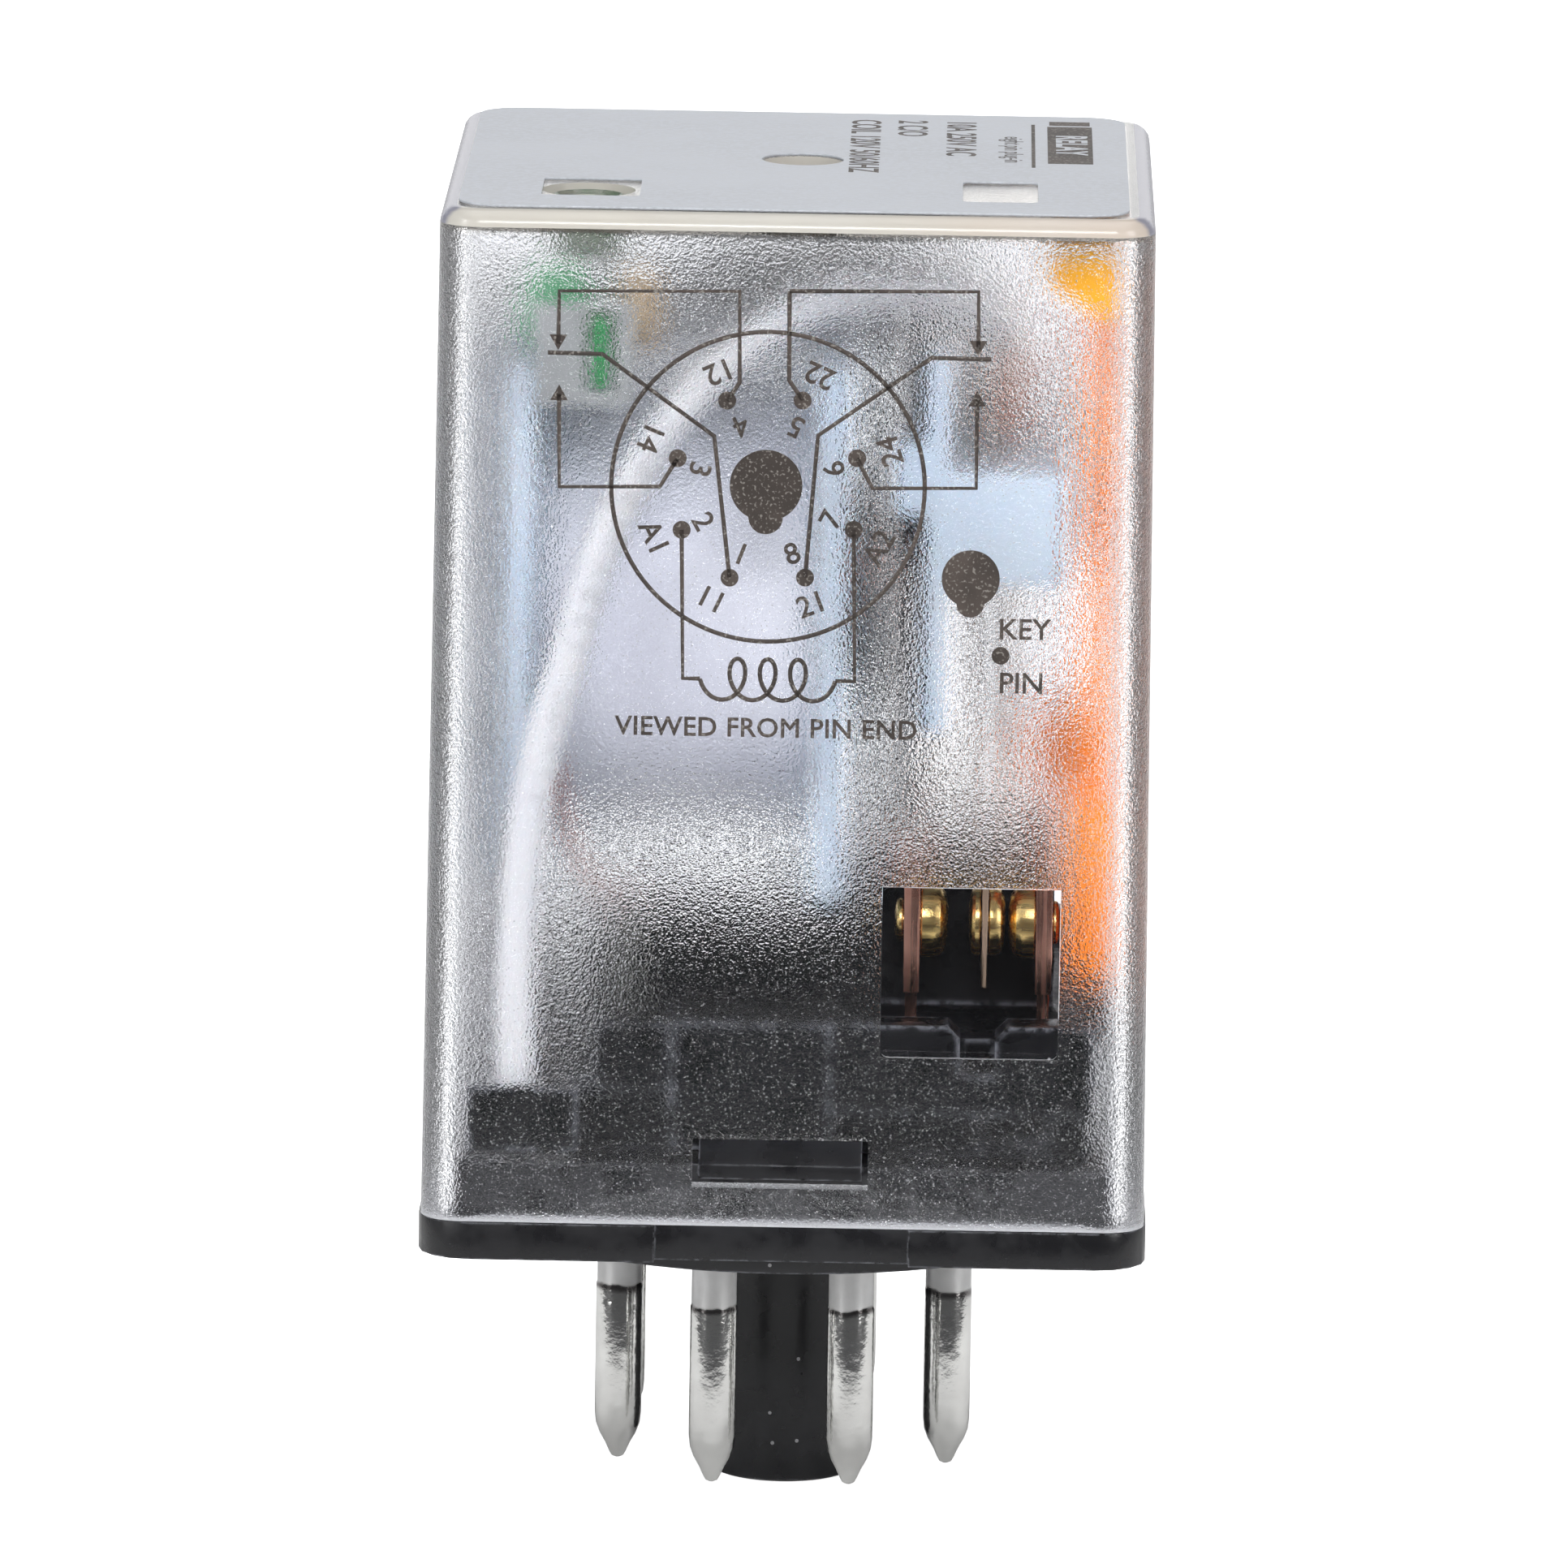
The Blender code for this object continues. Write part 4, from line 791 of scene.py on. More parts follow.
class RELAY_OT_cover(bpy.types.Operator):
    """Clear cover: leaning walls, round corners, polished window recess, latch windows and holes"""
    bl_idname = "relay.cover"
    bl_label = "Clear cover"

    def execute(self, context):
        top, bottom = COVER_TOP, FLANGE_TOP + SEAM
        low_half, high_half = half_side(bottom), half_side(top)
        cover = add_box("cover_shell", (-low_half, -low_half, bottom), (low_half, low_half, top))
        for vertex in cover.data.vertices:
            if vertex.co.z > top * MM / 2:
                vertex.co.xy *= high_half / low_half
        select_edges(cover, lambda a, b: abs(a.z - b.z) > 0.02)
        bpy.ops.mesh.bevel(offset=sizes().cover_corner * MM, segments=8, affect="EDGES")
        bpy.ops.object.mode_set(mode="OBJECT")
        self.open_bottom(cover)
        apply_modifier(cover, "SOLIDIFY", "wall", thickness=sizes().cover_wall * MM, offset=-1.0,
                       use_even_offset=True, use_quality_normals=True)
        rim = (top - 0.01) * MM
        select_edges(cover, lambda a, b: a.z > rim and b.z > rim)
        bpy.ops.mesh.bevel(offset=sizes().cover_fillet * MM, segments=4, affect="EDGES")
        bpy.ops.object.mode_set(mode="OBJECT")
        self.cut_openings(cover, top)
        self.split_finishes(cover)
        only(cover)
        bpy.ops.object.shade_smooth_by_angle(angle=math.radians(30))
        apply_modifier(cover, "WEIGHTED_NORMAL", "flat_walls", mode="FACE_AREA", weight=100,
                       keep_sharp=True)
        finish_piece(cover, None, "root", ("cover",))
        return {"FINISHED"}

    def open_bottom(self, cover):
        """Delete the floor face."""
        only(cover)
        bpy.ops.object.mode_set(mode="EDIT")
        bpy.ops.mesh.select_mode(type="FACE")
        bpy.ops.mesh.select_all(action="DESELECT")
        bpy.ops.object.mode_set(mode="OBJECT")
        for polygon in cover.data.polygons:
            polygon.select = polygon.normal.z < -0.9
        bpy.ops.object.mode_set(mode="EDIT")
        bpy.ops.mesh.delete(type="ONLY_FACE")
        bpy.ops.object.mode_set(mode="OBJECT")

    def cut_openings(self, cover, top):
        """Latch windows front and rear, polished recess, lens seat and centre hole."""
        (x0, x1), (z0, z1) = LATCH_WINDOW
        outer = half_side(z0)
        for _, side in SIDES:
            near, far = sorted((-(outer + 2.0) * side, -(outer - 2.0) * side))
            carve(cover, add_box("latch_cut", (x0, near, z0), (x1, far, z1)))
        (x0, x1), (z0, z1) = VIEW_WINDOW
        recess = add_box("window_cut", (x0, -outer - 2.0, z0), (x1, -half_side((z0 + z1) / 2) + 0.1, z1))
        select_edges(recess, lambda a, b: abs(a.y - b.y) > 0.0005)
        bpy.ops.mesh.bevel(offset=0.35 * MM, segments=3, affect="EDGES")
        bpy.ops.object.mode_set(mode="OBJECT")
        for x, y, radius in ((*HOLE_CENTRE, 2.0), (*LENS_CENTRE, 2.25)):
            stations = ((radius, top - 3.0), (radius, top + 2.0))
            carve(cover, turn_up("hole_cut", stations, (x, y, 0.0)))
        carve(cover, recess)

    def split_finishes(self, cover):
        """Grained finish on the faces that look out, smooth finish inside."""
        cover.data.materials.clear()
        for material in ("outside", "inside", "rim"):
            cover.data.materials.append(MATERIALS[material])
        inner = (half_side(0.0) - sizes().cover_wall - 0.05) * MM
        ceiling = (COVER_HIGH.z - sizes().cover_wall + 0.35) * MM
        for polygon in cover.data.polygons:
            middle = polygon.center
            within = max(abs(middle.x), abs(middle.y)) < inner and middle.z < ceiling
            on_rim = middle.z > (COVER_TOP - sizes().cover_fillet) * MM and abs(polygon.normal.z) < 0.99
            polygon.material_index = 1 if within else 2 if on_rim else 0


# ---------------------------------------------------------------- film on top, with its lettering

def add_letters(text, size, place, turn, thickness=0.012, align="CENTER", spacing=1.0, bold=0.0):
    """Solid letters in mm at a place, made a mesh."""
    deselect()
    bpy.ops.object.text_add(location=(0.0, 0.0, 0.0))
    obj = bpy.context.active_object
    words = obj.data
    words.body = text
    words.size = size * MM
    words.extrude = thickness * MM
    words.align_x = align
    words.align_y = "CENTER"
    words.space_character = spacing
    words.offset = bold * MM
    words.resolution_u = 3
    only(obj)
    bpy.ops.object.convert(target="MESH")
    obj = bpy.context.active_object
    obj.rotation_euler = turn
    obj.location = Vector(place) * MM
    settle(obj)
    return obj


def rounded_outline(half_x, half_y, radius, centre, steps=6):
    """Points of a rectangle with round corners, in mm."""
    points = []
    for quarter, (sx, sy) in enumerate(((1, 1), (-1, 1), (-1, -1), (1, -1))):
        for step in range(steps + 1):
            angle = QUARTER * (quarter + step / steps)
            points.append((centre[0] + sx * (half_x - radius) + radius * math.cos(angle),
                           centre[1] + sy * (half_y - radius) + radius * math.sin(angle)))
    return points


def flat_piece(name, outlines, low, high):
    """Flat piece from outlines in mm, from one height to another."""
    obj = curve_mesh(name, [[(x, y, 0.0) for x, y in outline] for outline in outlines], closed=True,
                     dimensions="2D", fill_mode="BOTH", extrude=(high - low) / 2 * MM)
    obj.location = (0.0, 0.0, (low + high) / 2 * MM)
    settle(obj)
    weld(obj)
    return obj


FILM_TEXT = (    # text, x of its middle, y where it starts, letter size, boldness
    ("COIL 120V 50/60HZ", 2.9, 13.9, 2.05, 0.03),
    ("2 C/O", 5.2, 13.9, 2.05, 0.03),
    ("10A 250V AC", 7.6, 13.9, 2.05, 0.03),
    ("eight pin plug-in", 10.2, 9.0, 1.35, 0.0),
)
FILM_RULE_X = 11.2
FILM_PATCH = ((11.9, 0.2), (14.1, 12.6))    # dark patch that carries the word below


class RELAY_OT_film(bpy.types.Operator):
    """Printed film on the cover with its three openings, plain ratings and a ruled line"""
    bl_idname = "relay.film"
    bl_label = "Film on top"

    def execute(self, context):
        low, high = LABEL_HIGH.z - 0.14, LABEL_HIGH.z - 0.02
        middle = ((LABEL_LOW.x + LABEL_HIGH.x) / 2, (LABEL_LOW.y + LABEL_HIGH.y) / 2)
        half = ((LABEL_HIGH.x - LABEL_LOW.x) / 2, (LABEL_HIGH.y - LABEL_LOW.y) / 2)
        outlines = (
            rounded_outline(*half, 2.0, middle),
            rounded_outline(2.35, 2.75, 0.25, (-9.95, -9.85), 3),
            rounded_outline(1.8, 3.3, 0.35, (9.6, -9.3), 3),
            ring(HOLE_CENTRE, 2.0, 40, 40),
        )
        film = flat_piece("printed_film", outlines, low, high)
        finish_piece(film, "film", "root", ("cover_label",))
        along = (0.0, 0.0, -QUARTER)
        letters = [add_letters(text, size, (x, y, high + 0.003), along, 0.004, "LEFT", 1.0, bold)
                   for text, x, y, size, bold in FILM_TEXT]
        (x0, y0), (x1, y1) = FILM_PATCH
        marks = [add_box(name, (*start, high - 0.01), (*end, high + 0.007)) for name, start, end in (
            ("film_rule", (FILM_RULE_X - 0.09, -1.2), (FILM_RULE_X + 0.09, 13.2)),
            ("film_patch", (x0, y0), (x1, y1)),
            ("film_patch_end", (x0 + 0.1, y1 + 0.4), (x1 - 0.1, y1 + 1.7)))]
        lettering = join_pieces(letters + marks, "film_lettering")
        finish_piece(lettering, "ink", "root")
        word = add_letters("RELAY", 2.1, ((x0 + x1) / 2, (y0 + y1) / 2, high + 0.010), along, 0.004,
                           spacing=1.1, bold=0.06)
        finish_piece(named_as(word, "film_word"), "film", "root")
        return {"FINISHED"}


# ---------------------------------------------------------------- wiring diagram on the front

CIRCLE_CENTRE = (-1.2, 38.6)
CIRCLE_RADIUS = 7.45
DOTS = ((-3.20, 42.72), (0.38, 42.79), (-5.51, 39.91), (3.01, 40.06), (-5.27, 36.47), (2.91, 36.62),
        (-2.96, 34.20), (0.63, 34.27))
DOT_RADIUS = 0.43
NOTE_DOT = (10.0, 30.67)                                    # the dot beside the notes
KEYED_DISCS = ((-1.29, 38.66, 1.73), (8.51, 34.35, 1.38))   # x, z, radius
NOTES = (   # text, letter size, x, z, spacing, boldness
    ("VIEWED FROM PIN END", 1.3, -1.1, 26.93, 1.04, 0.02),
    ("KEY", 1.42, 11.1, 31.9, 1.0, 0.015),
    ("PIN", 1.42, 11.0, 29.3, 1.0, 0.015),
)
WIRES = (
    ((-11.25, 45.3), (-11.23, 47.84), (-2.68, 47.97), (-2.62, 43.6), (-3.20, 42.72)),
    ((-0.32, 48.02), (8.64, 48.15), (8.67, 45.4)),
    ((-0.32, 48.02), (-0.27, 43.75), (0.38, 42.79)),
    ((-11.74, 44.88), (-9.16, 44.85), (-3.79, 41.0), (-2.96, 34.20)),
    ((-11.18, 42.9), (-11.12, 38.44), (-6.34, 38.53), (-5.51, 39.91)),
    ((9.30, 44.92), (6.47, 44.95), (1.14, 41.12), (0.63, 34.27)),
    ((8.66, 43.0), (8.69, 38.72), (3.76, 38.63), (3.01, 40.06)),
    ((-5.27, 36.47), (-5.12, 29.3), (-4.3, 29.3)),
    ((2.91, 36.62), (3.07, 29.3), (2.15, 29.3)),
)
COIL_SIGN_X = (-4.3, 2.15)
COIL_SIGN_Z = 29.3
ARROWS = (   # x, z of the tip, direction
    (-11.25, 45.0, -1), (-11.18, 43.35, 1), (8.67, 45.05, -1), (8.66, 43.4, 1),
)
NUMBERS = (   # text, x, z; each one's top faces the circle's centre
    ("12", -3.61, 44.13), ("22", 1.19, 44.04), ("14", -6.83, 40.90), ("24", 4.61, 40.45),
    ("A1", -6.60, 36.04), ("A2", 4.16, 35.76), ("11", -3.83, 33.10), ("21", 0.99, 32.95),
    ("4", -2.56, 41.56), ("5", 0.10, 41.56), ("3", -4.49, 39.40), ("6", 1.97, 39.54),
    ("2", -4.29, 36.87), ("7", 1.84, 37.06), ("1", -2.44, 35.30), ("8", 0.01, 35.37),
)


def drawn_line(points, width):
    """Flattened line in the front's X and Z, in mm."""
    return curve_mesh("line", [[(x, 0.0, z) for x, z in points]], dimensions="3D",
                      bevel_depth=width / 2 * MM, bevel_resolution=1, use_fill_caps=True)


def coil_sign():
    """Three loops between the coil's two leads."""
    steps, reach, rise = 84, 0.7, 1.0
    advance = (COIL_SIGN_X[1] - COIL_SIGN_X[0] - 2 * reach) / 7
    points = []
    for step in range(steps + 1):
        half_turns = 7 * step / steps
        angle = math.pi * half_turns - QUARTER
        points.append((COIL_SIGN_X[0] + reach + advance * half_turns + reach * math.sin(angle),
                       COIL_SIGN_Z - rise * math.cos(angle)))
    return points


def keyed_disc(x, z, radius):
    """Filled disc with a small lobe below, the sign of the key post."""
    lobe = radius * 0.48
    centre_z = z - radius * 0.87
    points = []
    opening = 0.54
    for step in range(41):
        angle = -QUARTER + opening + (math.tau - 2 * opening) * step / 40
        points.append((x + radius * math.cos(angle), z + radius * math.sin(angle)))
    for step in range(13):
        angle = math.pi - math.pi * -step / 12
        points.append((x + lobe * math.cos(angle), centre_z + lobe * math.sin(angle)))
    return points


def print_front(obj):
    """Lay a flat drawing on the leaning front face."""
    for vertex in obj.data.vertices:
        lift = vertex.co.y
        vertex.co.y = -(half_side(vertex.co.z / MM) + 0.014) * MM + max(-0.000012, min(0.000012, lift))


class RELAY_OT_front_print(bpy.types.Operator):
    """Wiring diagram on the front: circle, pin dots, contact and coil signs, numbers and notes"""
    bl_idname = "relay.front_print"
    bl_label = "Printed diagram"

    def execute(self, context):
        width = sizes().print_line
        circle = ring(CIRCLE_CENTRE, CIRCLE_RADIUS, 96, 97)
        lines = [drawn_line(points, width) for points in (*WIRES, circle, coil_sign())]
        filled = [ring(dot, DOT_RADIUS, 24, 24) for dot in (*DOTS, NOTE_DOT)]
        filled += [[(x, z), (x + 0.42, z - 0.75 * way), (x - 0.42, z - 0.75 * way)] for x, z, way in ARROWS]
        filled += [keyed_disc(*disc) for disc in KEYED_DISCS]
        solids = []
        for outline in filled:
            solid = flat_piece("mark", [outline], -0.012, 0.012)
            solid.rotation_euler = (QUARTER, 0.0, 0.0)
            settle(solid)
            solids.append(solid)
        size = sizes().print_height
        upright = (QUARTER, 0.0, 0.0)
        words = [add_letters(text, letter, (x, 0.0, z), upright, spacing=spacing, bold=bold)
                 for text, letter, x, z, spacing, bold in NOTES]
        for text, x, z in NUMBERS:
            outward = math.atan2(z - CIRCLE_CENTRE[1], x - CIRCLE_CENTRE[0])
            turn = (QUARTER, -outward - QUARTER, 0.0)
            words.append(add_letters(text, size, (x, 0.0, z), turn, bold=0.02))
        diagram = join_pieces(lines + solids + words, "front_diagram")
        print_front(diagram)
        finish_piece(diagram, "ink", "root")
        return {"FINISHED"}


# ---------------------------------------------------------------- base, contact block and pins

class RELAY_OT_base(bpy.types.Operator):
    """Black base and contact block, with their moulded edges rounded"""
    bl_idname = "relay.base"
    bl_label = "Base and contact block"

    def execute(self, context):
        refine("base", "base_moulding", "black", 0.22)
        refine("contact_block", "contact_block_moulding", "block", 0.16)
        return {"FINISHED"}


class RELAY_OT_pins(bpy.types.Operator):
    """Eight plated pins with a dipped, blunt tip"""
    bl_idname = "relay.pins"
    bl_label = "Pins"

    def execute(self, context):
        tip = corner("pin_1", 0).z
        root = corner("pin_1", 1).z
        radius = (corner("pin_1", 1).x - corner("pin_1", 0).x) / 2
        shank = radius - 0.05
        stations = ((0.12, tip), (0.30, tip + 0.08), (0.42, tip + 0.3), (0.62, tip + 0.75),
                    (0.9, tip + 1.25), (1.08, tip + 1.75), (radius - 0.01, tip + 2.3),
                    (radius, tip + 3.2), (radius, -3.5), (shank, -3.35), (shank, 0.0), (shank, root))
        pattern = turn_up("pin_pattern", stations, (0.0, 0.0, 0.0))
        for number in range(1, 9):
            low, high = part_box(f"pin_{number}")
            middle = (low + high) / 2
            pin = place_object(f"plated_pin_{number}", pattern.data.copy())
            pin.data.transform(Matrix.Translation((middle.x, middle.y, 0.0))
                               @ Matrix.Rotation(number * 0.7, 4, "Z"))
            finish_piece(pin, "pin", "root", (f"pin_{number}",))
        bpy.data.objects.remove(pattern, do_unlink=True)
        return {"FINISHED"}


# ---------------------------------------------------------------- magnet

class RELAY_OT_magnet(bpy.types.Operator):
    """Yoke, bobbin, core, winding, tape, shading ring, armature, carrier and return spring"""
    bl_idname = "relay.magnet"
    bl_label = "Magnet"

    def execute(self, context):
        refine("yoke", "yoke_strap", "iron", 0.15)
        refine("core", "core_and_pole", "iron", 0.15)
        refine("bobbin", "bobbin_moulding", "nylon", 0.2)
        refine("shading_ring", "copper_shading_ring", "copper", 0.08)
        refine("armature", "armature_flap", "dark_iron", 0.12, "armature")
        refine("moving_insulator", "moving_carrier", "nylon", 0.2, "armature")
        self.wind_tape()
        for node, material in (("coil_winding", "winding"), ("return_spring", "spring")):
            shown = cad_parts[node].data.materials
            shown.clear()
            shown.append(MATERIALS[material])
        return {"FINISHED"}

    def wind_tape(self):
        """Tape as a turned sleeve with a slight belly and the step of each lap."""
        low, high = corner("coil_wrap", 0), corner("coil_wrap", 1)
        radius = (high.z - low.z) / 2
        laps = 5
        pitch = (high.x - low.x) / laps
        stations = [(radius - 0.5, low.x)]
        for lap in range(laps):
            start = low.x + lap * pitch
            stations += [(radius - 0.14, start + 0.02), (radius - 0.02, start + 0.3),
                         (radius - 0.05, start + pitch - 0.02)]
        stations.append((radius - 0.5, high.x))
        sleeve = turn_up("tape_sleeve", stations, (0.0, 0.0, (low.z + high.z) / 2), "X", 96)
        bore = turn_up("tape_bore", ((radius - 0.55, low.x - 1.0), (radius - 0.55, high.x + 1.0)),
                       (0.0, 0.0, (low.z + high.z) / 2), "X", 96)
        carve(sleeve, bore)
        only(sleeve)
        bpy.ops.object.shade_smooth_by_angle(angle=math.radians(40))
        finish_piece(sleeve, "tape", "root", ("coil_wrap",))


# ---------------------------------------------------------------- contacts

RIVET_NECK = 0.5
RIVET_TAIL = 1.05      # radius of the small head behind a post


def contact_rivet(name, left, right):
    """Rivet along X with a domed head at each end: (radius, inner x, outer x) each, in mm."""
    def head(radius, inner, outer):
        way = 1 if outer > inner else -1
        depth = abs(outer - inner)
        return [(radius - 0.06, inner), (radius, inner + 0.06 * way), (radius, inner + depth * 0.45 * way),
                (radius * 0.93, inner + depth * 0.72 * way), (radius * 0.74, inner + depth * 0.92 * way),
                (radius * 0.40, outer)]
    stations = [*reversed(head(*left)), (RIVET_NECK, left[1] + 0.001), (RIVET_NECK, right[1] - 0.001),
                *head(*right)]
    return turn_up(name, stations, (0.0, 0.0, 0.0), "X", 48)


class RELAY_OT_contacts(bpy.types.Operator):
    """Blades, posts with their crimped feet, and the six contact rivets"""
    bl_idname = "relay.contacts"
    bl_label = "Contacts"

    def execute(self, context):
        for side_name, _ in SIDES:
            for kind in ("open", "closed"):
                post = f"{kind}_post_{side_name}"
                refine(post, f"{post}_bar", "copper", 0.07)
            refine(f"blade_{side_name}", f"spring_blade_{side_name}", "bronze", 0.05, "armature")
            self.rivets(side_name)
        return {"FINISHED"}

    def rivets(self, side_name):
        """Three rivets of one pole, in place of the plain ones."""
        blade_low, blade_high = corner(f"blade_{side_name}", 0).x, corner(f"blade_{side_name}", 1).x
        for kind, body in (("open_contact", "root"), ("closed_contact", "root"),
                           ("moving_contact", "armature")):
            node = f"{kind}_{side_name}"
            low, high = corner(node, 0), corner(node, 1)
            radius = (high.z - low.z) / 2
            if kind == "moving_contact":
                left, right = (radius, blade_low - 0.05, low.x), (radius, blade_high + 0.05, high.x)
            else:
                post_low = corner(node.replace("contact", "post"), 0).x
                post_high = corner(node.replace("contact", "post"), 1).x
                heads = (radius, RIVET_TAIL) if kind == "closed_contact" else (RIVET_TAIL, radius)
                left, right = (heads[0], post_low - 0.05, low.x), (heads[1], post_high + 0.05, high.x)
            piece = contact_rivet(f"{node}_rivet", left, right)
            middle = (low + high) / 2
            piece.data.transform(Matrix.Translation((0.0, middle.y * MM, middle.z * MM)))
            finish_piece(piece, "gold", body, (node,))


# ---------------------------------------------------------------- indicator lever

class RELAY_OT_indicator(bpy.types.Operator):
    """Orange lever with its lighter flag, and the pin that it turns on"""
    bl_idname = "relay.indicator"
    bl_label = "Indicator"

    def execute(self, context):
        lever = refine("indicator_lever", "indicator_leaf", "orange", 0.2, "indicator")
        lever.data.materials.append(MATERIALS["flag"])
        flag_bottom = corner("indicator_lever", 1).z - 1.4
        for polygon in lever.data.polygons:
            if polygon.center.z > flag_bottom * MM:
                polygon.material_index = 1
        refine("lever_pivot_pin", "lever_pin", "spring", 0.08)
        return {"FINISHED"}


# ---------------------------------------------------------------- leads

LEAD_ROUTE = (
    (-12.8, -13.9, 5.8), (-12.9, -14.1, 10.5), (-12.9, -14.4, 16.0), (-12.4, -14.5, 22.5),
    (-10.7, -14.5, 29.8), (-8.5, -14.3, 36.8), (-5.1, -13.2, 42.2), (-0.1, -11.3, 46.1),
    (3.8, -10.0, 47.0), (7.0, -9.2, 46.9), (9.4, -8.8, 46.0), (11.0, -8.6, 44.6),
)
LEAD_TAIL_ROUTE = ((11.15, -8.6, 44.2), (10.8, -8.6, 43.0), (10.45, -8.6, 41.8), (10.4, -8.6, 40.2))
COIL_LEAD_ROUTE = (
    (-7.6, -9.0, 17.2), (-8.6, -10.4, 17.6), (-10.2, -12.2, 19.6), (-11.0, -12.9, 23.0),
    (-11.3, -12.9, 27.0),
)


def smooth_route(route, spacing):
    """Points about spacing apart on a Catmull-Rom curve through the route's points."""
    knots = [Vector(point) for point in route]
    knots = [2 * knots[0] - knots[1], *knots, 2 * knots[-1] - knots[-2]]
    points = []
    for a, b, c, d in zip(knots, knots[1:], knots[2:], knots[3:]):
        steps = max(1, round((c - b).length / spacing))
        for step in range(steps):
            t = step / steps
            points.append(0.5 * (2 * b + (c - a) * t + (2 * a - 5 * b + 4 * c - d) * t ** 2
                                 + (3 * b - a - 3 * c + d) * t ** 3))
    return points + [knots[-2]]


def wire(name, points, radius):
    """Round wire through points in mm, made a mesh."""
    obj = curve_mesh(name, [points], dimensions="3D", bevel_depth=radius * MM, bevel_resolution=5,
                     use_fill_caps=True)
    weld(obj)
    bpy.ops.object.shade_smooth_by_angle(angle=math.radians(40))
    return named(name)


LEAD_PRINT = "18AWG 300V 105C"
LEAD_PRINT_START = 70      # which of the route's points, a quarter mm apart, carries the first letter
LEAD_PRINT_STEP = 5
LEAD_PRINT_TURN = -0.35    # how far round the lead the lettering sits, radians


def letter_on_lead(character, point, along):
    """One letter wrapped on the front lead, its foot line along the lead."""
    radius = (sizes().lead_radius + 0.012) * MM
    outward = (Vector((0.0, -1.0, 0.0)) + along * along.y).normalized()
    across = outward.cross(along)
    letter = add_letters(character, 1.25, (0.0, 0.0, 0.0), (0.0, 0.0, 0.0), 0.006)
    bpy.ops.object.mode_set(mode="EDIT")
    bpy.ops.mesh.select_all(action="SELECT")
    bpy.ops.mesh.subdivide(number_cuts=2)
    bpy.ops.object.mode_set(mode="OBJECT")
    for vertex in letter.data.vertices:
        x, y, z = vertex.co
        angle = y / radius + LEAD_PRINT_TURN
        vertex.co = (Vector(point) * MM + along * x
                     + (across * math.sin(angle) + outward * math.cos(angle)) * (radius + z))
    return letter


class RELAY_OT_leads(bpy.types.Operator):
    """White leads with bare ends, the coil's thin leads and their tags"""
    bl_idname = "relay.leads"
    bl_label = "Leads"

    def execute(self, context):
        for side_name, side in SIDES:
            route = [(x, y * side, z) for x, y, z in LEAD_ROUTE]
            tail = [(x, y * side, z) for x, y, z in LEAD_TAIL_ROUTE]
            thin = [(x, y * side, z) for x, y, z in COIL_LEAD_ROUTE]
            lead = wire(f"white_lead_{side_name}", smooth_route(route, 1.0), sizes().lead_radius)
            lead.data.materials.append(MATERIALS["white"])
            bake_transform(lead)
            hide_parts(f"lead_{side_name}")
            bare = wire(f"bare_end_{side_name}", smooth_route(tail, 0.5), 0.45)
            finish_piece(bare, "copper", "armature", (f"lead_tail_{side_name}",))
            coil = wire(f"coil_wire_{side_name}", smooth_route(thin, 0.6), 0.16)
            finish_piece(coil, "red", "root", (f"coil_lead_{side_name}",))
            refine(f"coil_terminal_{side_name}", f"coil_tag_{side_name}", "tag", 0.1)
        self.lettering()
        return {"FINISHED"}

    def lettering(self):
        """Faint rating along the front lead."""
        points = smooth_route(LEAD_ROUTE, 0.25)
        letters = []
        for index, character in enumerate(LEAD_PRINT):
            if character != " ":
                place = LEAD_PRINT_START + index * LEAD_PRINT_STEP
                along = (points[place + 2] - points[place - 2]).normalized()
                letters.append(letter_on_lead(character, points[place], along))
        finish_piece(join_pieces(letters, "lead_lettering"), "pale_ink", "root")


# ---------------------------------------------------------------- lamp

class RELAY_OT_lamp(bpy.types.Operator):
    """Green lamp with its board, bracket and resistor, under the lens in the cover"""
    bl_idname = "relay.lamp"
    bl_label = "Lamp"

    def execute(self, context):
        low, high = corner("lamp", 0), corner("lamp", 1)
        radius = (high.x - low.x) / 2 - 0.2
        middle = ((low.x + high.x) / 2, (low.y + high.y) / 2, 0.0)
        dome = [(radius * math.cos(a), high.z - radius + radius * math.sin(a))
                for a in (QUARTER * step / 9 for step in range(9))]
        stations = [(radius + 0.1, low.z), (radius + 0.2, low.z + 0.1), (radius + 0.2, low.z + 0.6),
                    (radius, low.z + 0.7), *dome]
        lamp = turn_up("lamp_body", stations, middle, sides=40)
        finish_piece(lamp, "green", "root", ("lamp",))
        refine("lamp_board", "lamp_board_edge", "board", 0.06)
        refine("lamp_bracket", "lamp_holder", "grey", 0.1)
        refine("lamp_resistor", "series_resistor", "beige", 0.25, segments=3)
        self.lens()
        return {"FINISHED"}

    def lens(self):
        """Clear light pipe with a stepped face."""
        low, high = corner("lamp_lens", 0), corner("lamp_lens", 1)
        radius = (high.x - low.x) / 2
        stations = ((radius - 0.62, low.z), (radius - 0.5, low.z + 0.12), (radius - 0.5, high.z - 1.2),
                    (radius, high.z - 1.15), (radius, high.z - 0.25), (radius - 0.12, high.z - 0.1),
                    (radius - 0.45, high.z), (radius - 0.6, high.z - 0.15), (radius - 1.1, high.z - 0.12),
                    (radius - 1.6, high.z - 0.04))
        lens = turn_up("lens_pipe", stations, ((low.x + high.x) / 2, (low.y + high.y) / 2, 0.0), sides=48)
        finish_piece(lens, "lens", "root", ("lamp_lens",))


# ---------------------------------------------------------------- floor, lights and camera

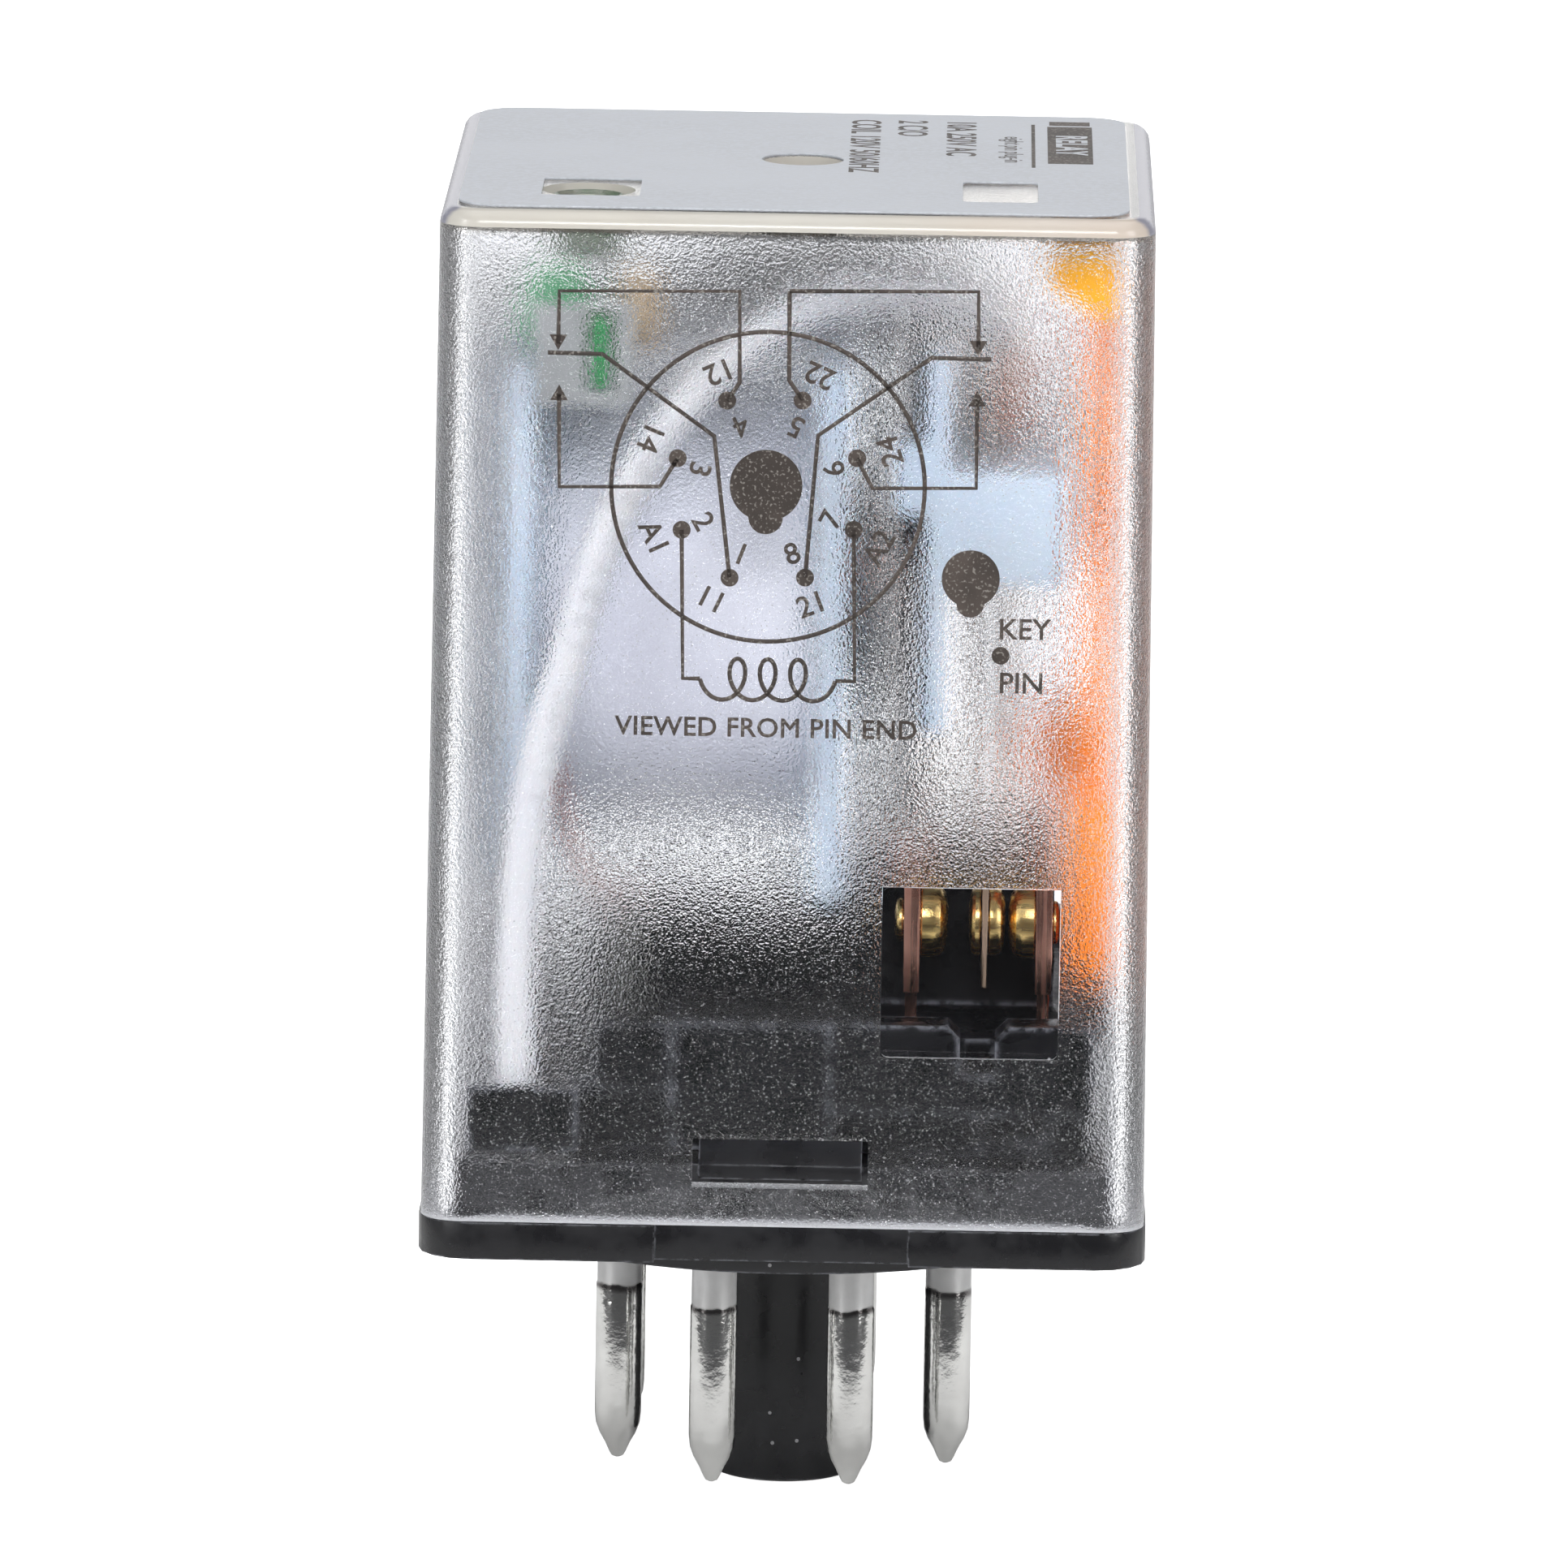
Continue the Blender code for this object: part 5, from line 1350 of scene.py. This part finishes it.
CAMERA_DISTANCE = 0.67917
CAMERA_TARGET = (0.0, 0.0, 0.0208)
CAMERA_AZIMUTH = 0.691
CAMERA_ELEVATION = 11.02
CAMERA_ROLL = 0.916
CAMERA_LENS = 318.5
FRAMING_SHIFT = (-0.0056, 0.0016)
FLOOR_PAINTED_SHADE_IN_GLOSS = (0.06, 0.06, 0.065)     # the floor in front as reflections show it: painted shade, as if flagged off
PAINTED_SHADE_Y = (-0.03, -0.09)                  # where that painted shade comes in, metres
FLOOR_WASH = 0.95                        # extra light on the floor where it is seen


FLOOR_COLOUR = (0.93, 0.93, 0.93)
MIDDLE = (0.0, 0.0, 0.025)
LAMPS = (   # name, place, what it faces, width, height, watts
    ("top_box", (0.0, 0.25, 1.6), (0.0, 0.25, 0.0), 1.6, 1.6, 14.5),
    ("left_box", (-0.55, -0.45, 0.30), MIDDLE, 0.26, 0.44, 2.1),
    ("right_box", (0.55, -0.45, 0.30), MIDDLE, 0.26, 0.44, 2.1),
    ("front_box", (0.0, -0.72, 0.46), MIDDLE, 0.24, 0.12, 2.2),
    ("back_box", (0.0, 1.30, 0.34), (0.0, 0.0, 0.34), 2.2, 0.62, 5.0),
)


def aimed_lamp(name, location, target, width, height, watts):
    """Soft box that faces a target."""
    lamp = bpy.data.lights.new(name, "AREA")
    lamp.shape = "RECTANGLE"
    lamp.size, lamp.size_y = width, height
    lamp.energy = watts
    obj = place_object(name, lamp)
    obj.location = location
    obj.rotation_euler = (Vector(target) - Vector(location)).to_track_quat("-Z", "Y").to_euler()


class RELAY_OT_stage(bpy.types.Operator):
    """Plain pale floor, soft studio light and the camera"""
    bl_idname = "relay.stage"
    bl_label = "Floor, light and camera"

    def execute(self, context):
        scene = context.scene
        self.camera(scene)
        self.floor()
        self.lights(scene)
        scene.view_settings.view_transform = "Standard"
        return {"FINISHED"}

    def camera(self, scene):
        """Long lens a little above the relay, rolled a degree."""
        azimuth, elevation = math.radians(CAMERA_AZIMUTH), math.radians(CAMERA_ELEVATION)
        back = Vector((math.sin(azimuth) * math.cos(elevation), -math.cos(azimuth) * math.cos(elevation),
                       math.sin(elevation)))
        right = (-back).cross(Vector((0.0, 0.0, 1.0))).normalized()
        up = right.cross(-back)
        roll = math.radians(CAMERA_ROLL)
        rolled_right = math.cos(roll) * right + math.sin(roll) * up
        rolled_up = math.cos(roll) * up - math.sin(roll) * right
        lens = bpy.data.cameras.new("camera")
        lens.sensor_width = 36.0
        lens.lens = CAMERA_LENS
        lens.clip_start = 0.01
        lens.clip_end = 20.0
        lens.shift_x, lens.shift_y = FRAMING_SHIFT
        camera = place_object("camera", lens)
        turn = Matrix((rolled_right, rolled_up, back)).transposed().to_4x4()
        camera.matrix_world = Matrix.Translation(Vector(CAMERA_TARGET) + back * CAMERA_DISTANCE) @ turn
        scene.camera = camera

    def floor(self):
        """Large pale floor under the key post."""
        deselect()
        bpy.ops.mesh.primitive_plane_add(size=6.0, location=(0.0, 1.5, CAD_BOX[0][2] - 0.00005))
        floor = named("studio_floor")
        settle(floor)
        material, tree, shader = new_material("pale_floor", FLOOR_COLOUR, 0.8, Specular_IOR_Level=0.0)
        path = add_node(tree, "LightPath")
        seen = maths(tree, "MAXIMUM", path.outputs["Is Camera Ray"], path.outputs["Is Transmission Ray"])
        _, split = object_place(tree)
        # Painted shade: in reflections the floor in front turns dark, as if a flag kept the lamps off it.
        painted_flag_shade = product(tree, maths(tree, "MINIMUM", path.outputs["Glossy Depth"], 1.0),
                          ramp(tree, split.outputs["Y"], *PAINTED_SHADE_Y))
        tree.links.new(mix_colour(tree, painted_flag_shade, FLOOR_COLOUR, FLOOR_PAINTED_SHADE_IN_GLOSS), shader.inputs["Base Color"])
        shader.inputs["Emission Color"].default_value = (1.0, 1.0, 1.0, 1.0)
        wash_outside_painted_shade = maths(tree, "SUBTRACT", FLOOR_WASH, product(tree, painted_flag_shade, FLOOR_WASH))
        washed = product(tree, seen, wash_outside_painted_shade)
        tree.links.new(washed, shader.inputs["Emission Strength"])
        floor.data.materials.append(material)

    def lights(self, scene):
        """Bright floor wash from behind and above, side boxes and a front fill."""
        world = bpy.data.worlds.new("studio")
        world.use_nodes = True
        background = world.node_tree.nodes["Background"].inputs
        background["Color"].default_value = (0.97, 0.98, 1.0, 1.0)
        background["Strength"].default_value = 0.10
        scene.world = world
        for lamp in LAMPS:
            aimed_lamp(*lamp)


# ---------------------------------------------------------------- add-on

STEPS = ("cover", "film", "front_print", "base", "pins", "magnet", "contacts", "indicator", "leads",
         "lamp", "stage")


class RELAY_PT_panel(bpy.types.Panel):
    """Buttons for each piece, and the sizes and colours"""
    bl_idname = "RELAY_PT_panel"
    bl_label = "Plug-in relay"
    bl_space_type = "VIEW_3D"
    bl_region_type = "UI"
    bl_category = "Relay"

    def draw(self, context):
        layout = self.layout
        for group in (context.scene.relay_sizes, context.scene.relay_colours):
            for name in group.bl_rna.properties.keys():
                if name not in ("rna_type", "name"):
                    layout.prop(group, name)
        for step in STEPS:
            layout.operator("relay." + step)


CLASSES = (
    RelaySizes, RelayColours, RELAY_OT_cover, RELAY_OT_film, RELAY_OT_front_print, RELAY_OT_base,
    RELAY_OT_pins, RELAY_OT_magnet, RELAY_OT_contacts, RELAY_OT_indicator, RELAY_OT_leads,
    RELAY_OT_lamp, RELAY_OT_stage, RELAY_PT_panel,
)


def register():
    """Register the classes and the settings."""
    for cls in CLASSES:
        bpy.utils.register_class(cls)
    bpy.types.Scene.relay_sizes = bpy.props.PointerProperty(type=RelaySizes)
    bpy.types.Scene.relay_colours = bpy.props.PointerProperty(type=RelayColours)


def unregister():
    """Remove the settings and the classes."""
    del bpy.types.Scene.relay_sizes
    del bpy.types.Scene.relay_colours
    for cls in reversed(CLASSES):
        bpy.utils.unregister_class(cls)


def main():
    """Build everything in order."""
    register()
    MATERIALS.update(make_materials())
    for step in STEPS:
        getattr(bpy.ops.relay, step)()


if __name__ == "__main__":
    main()
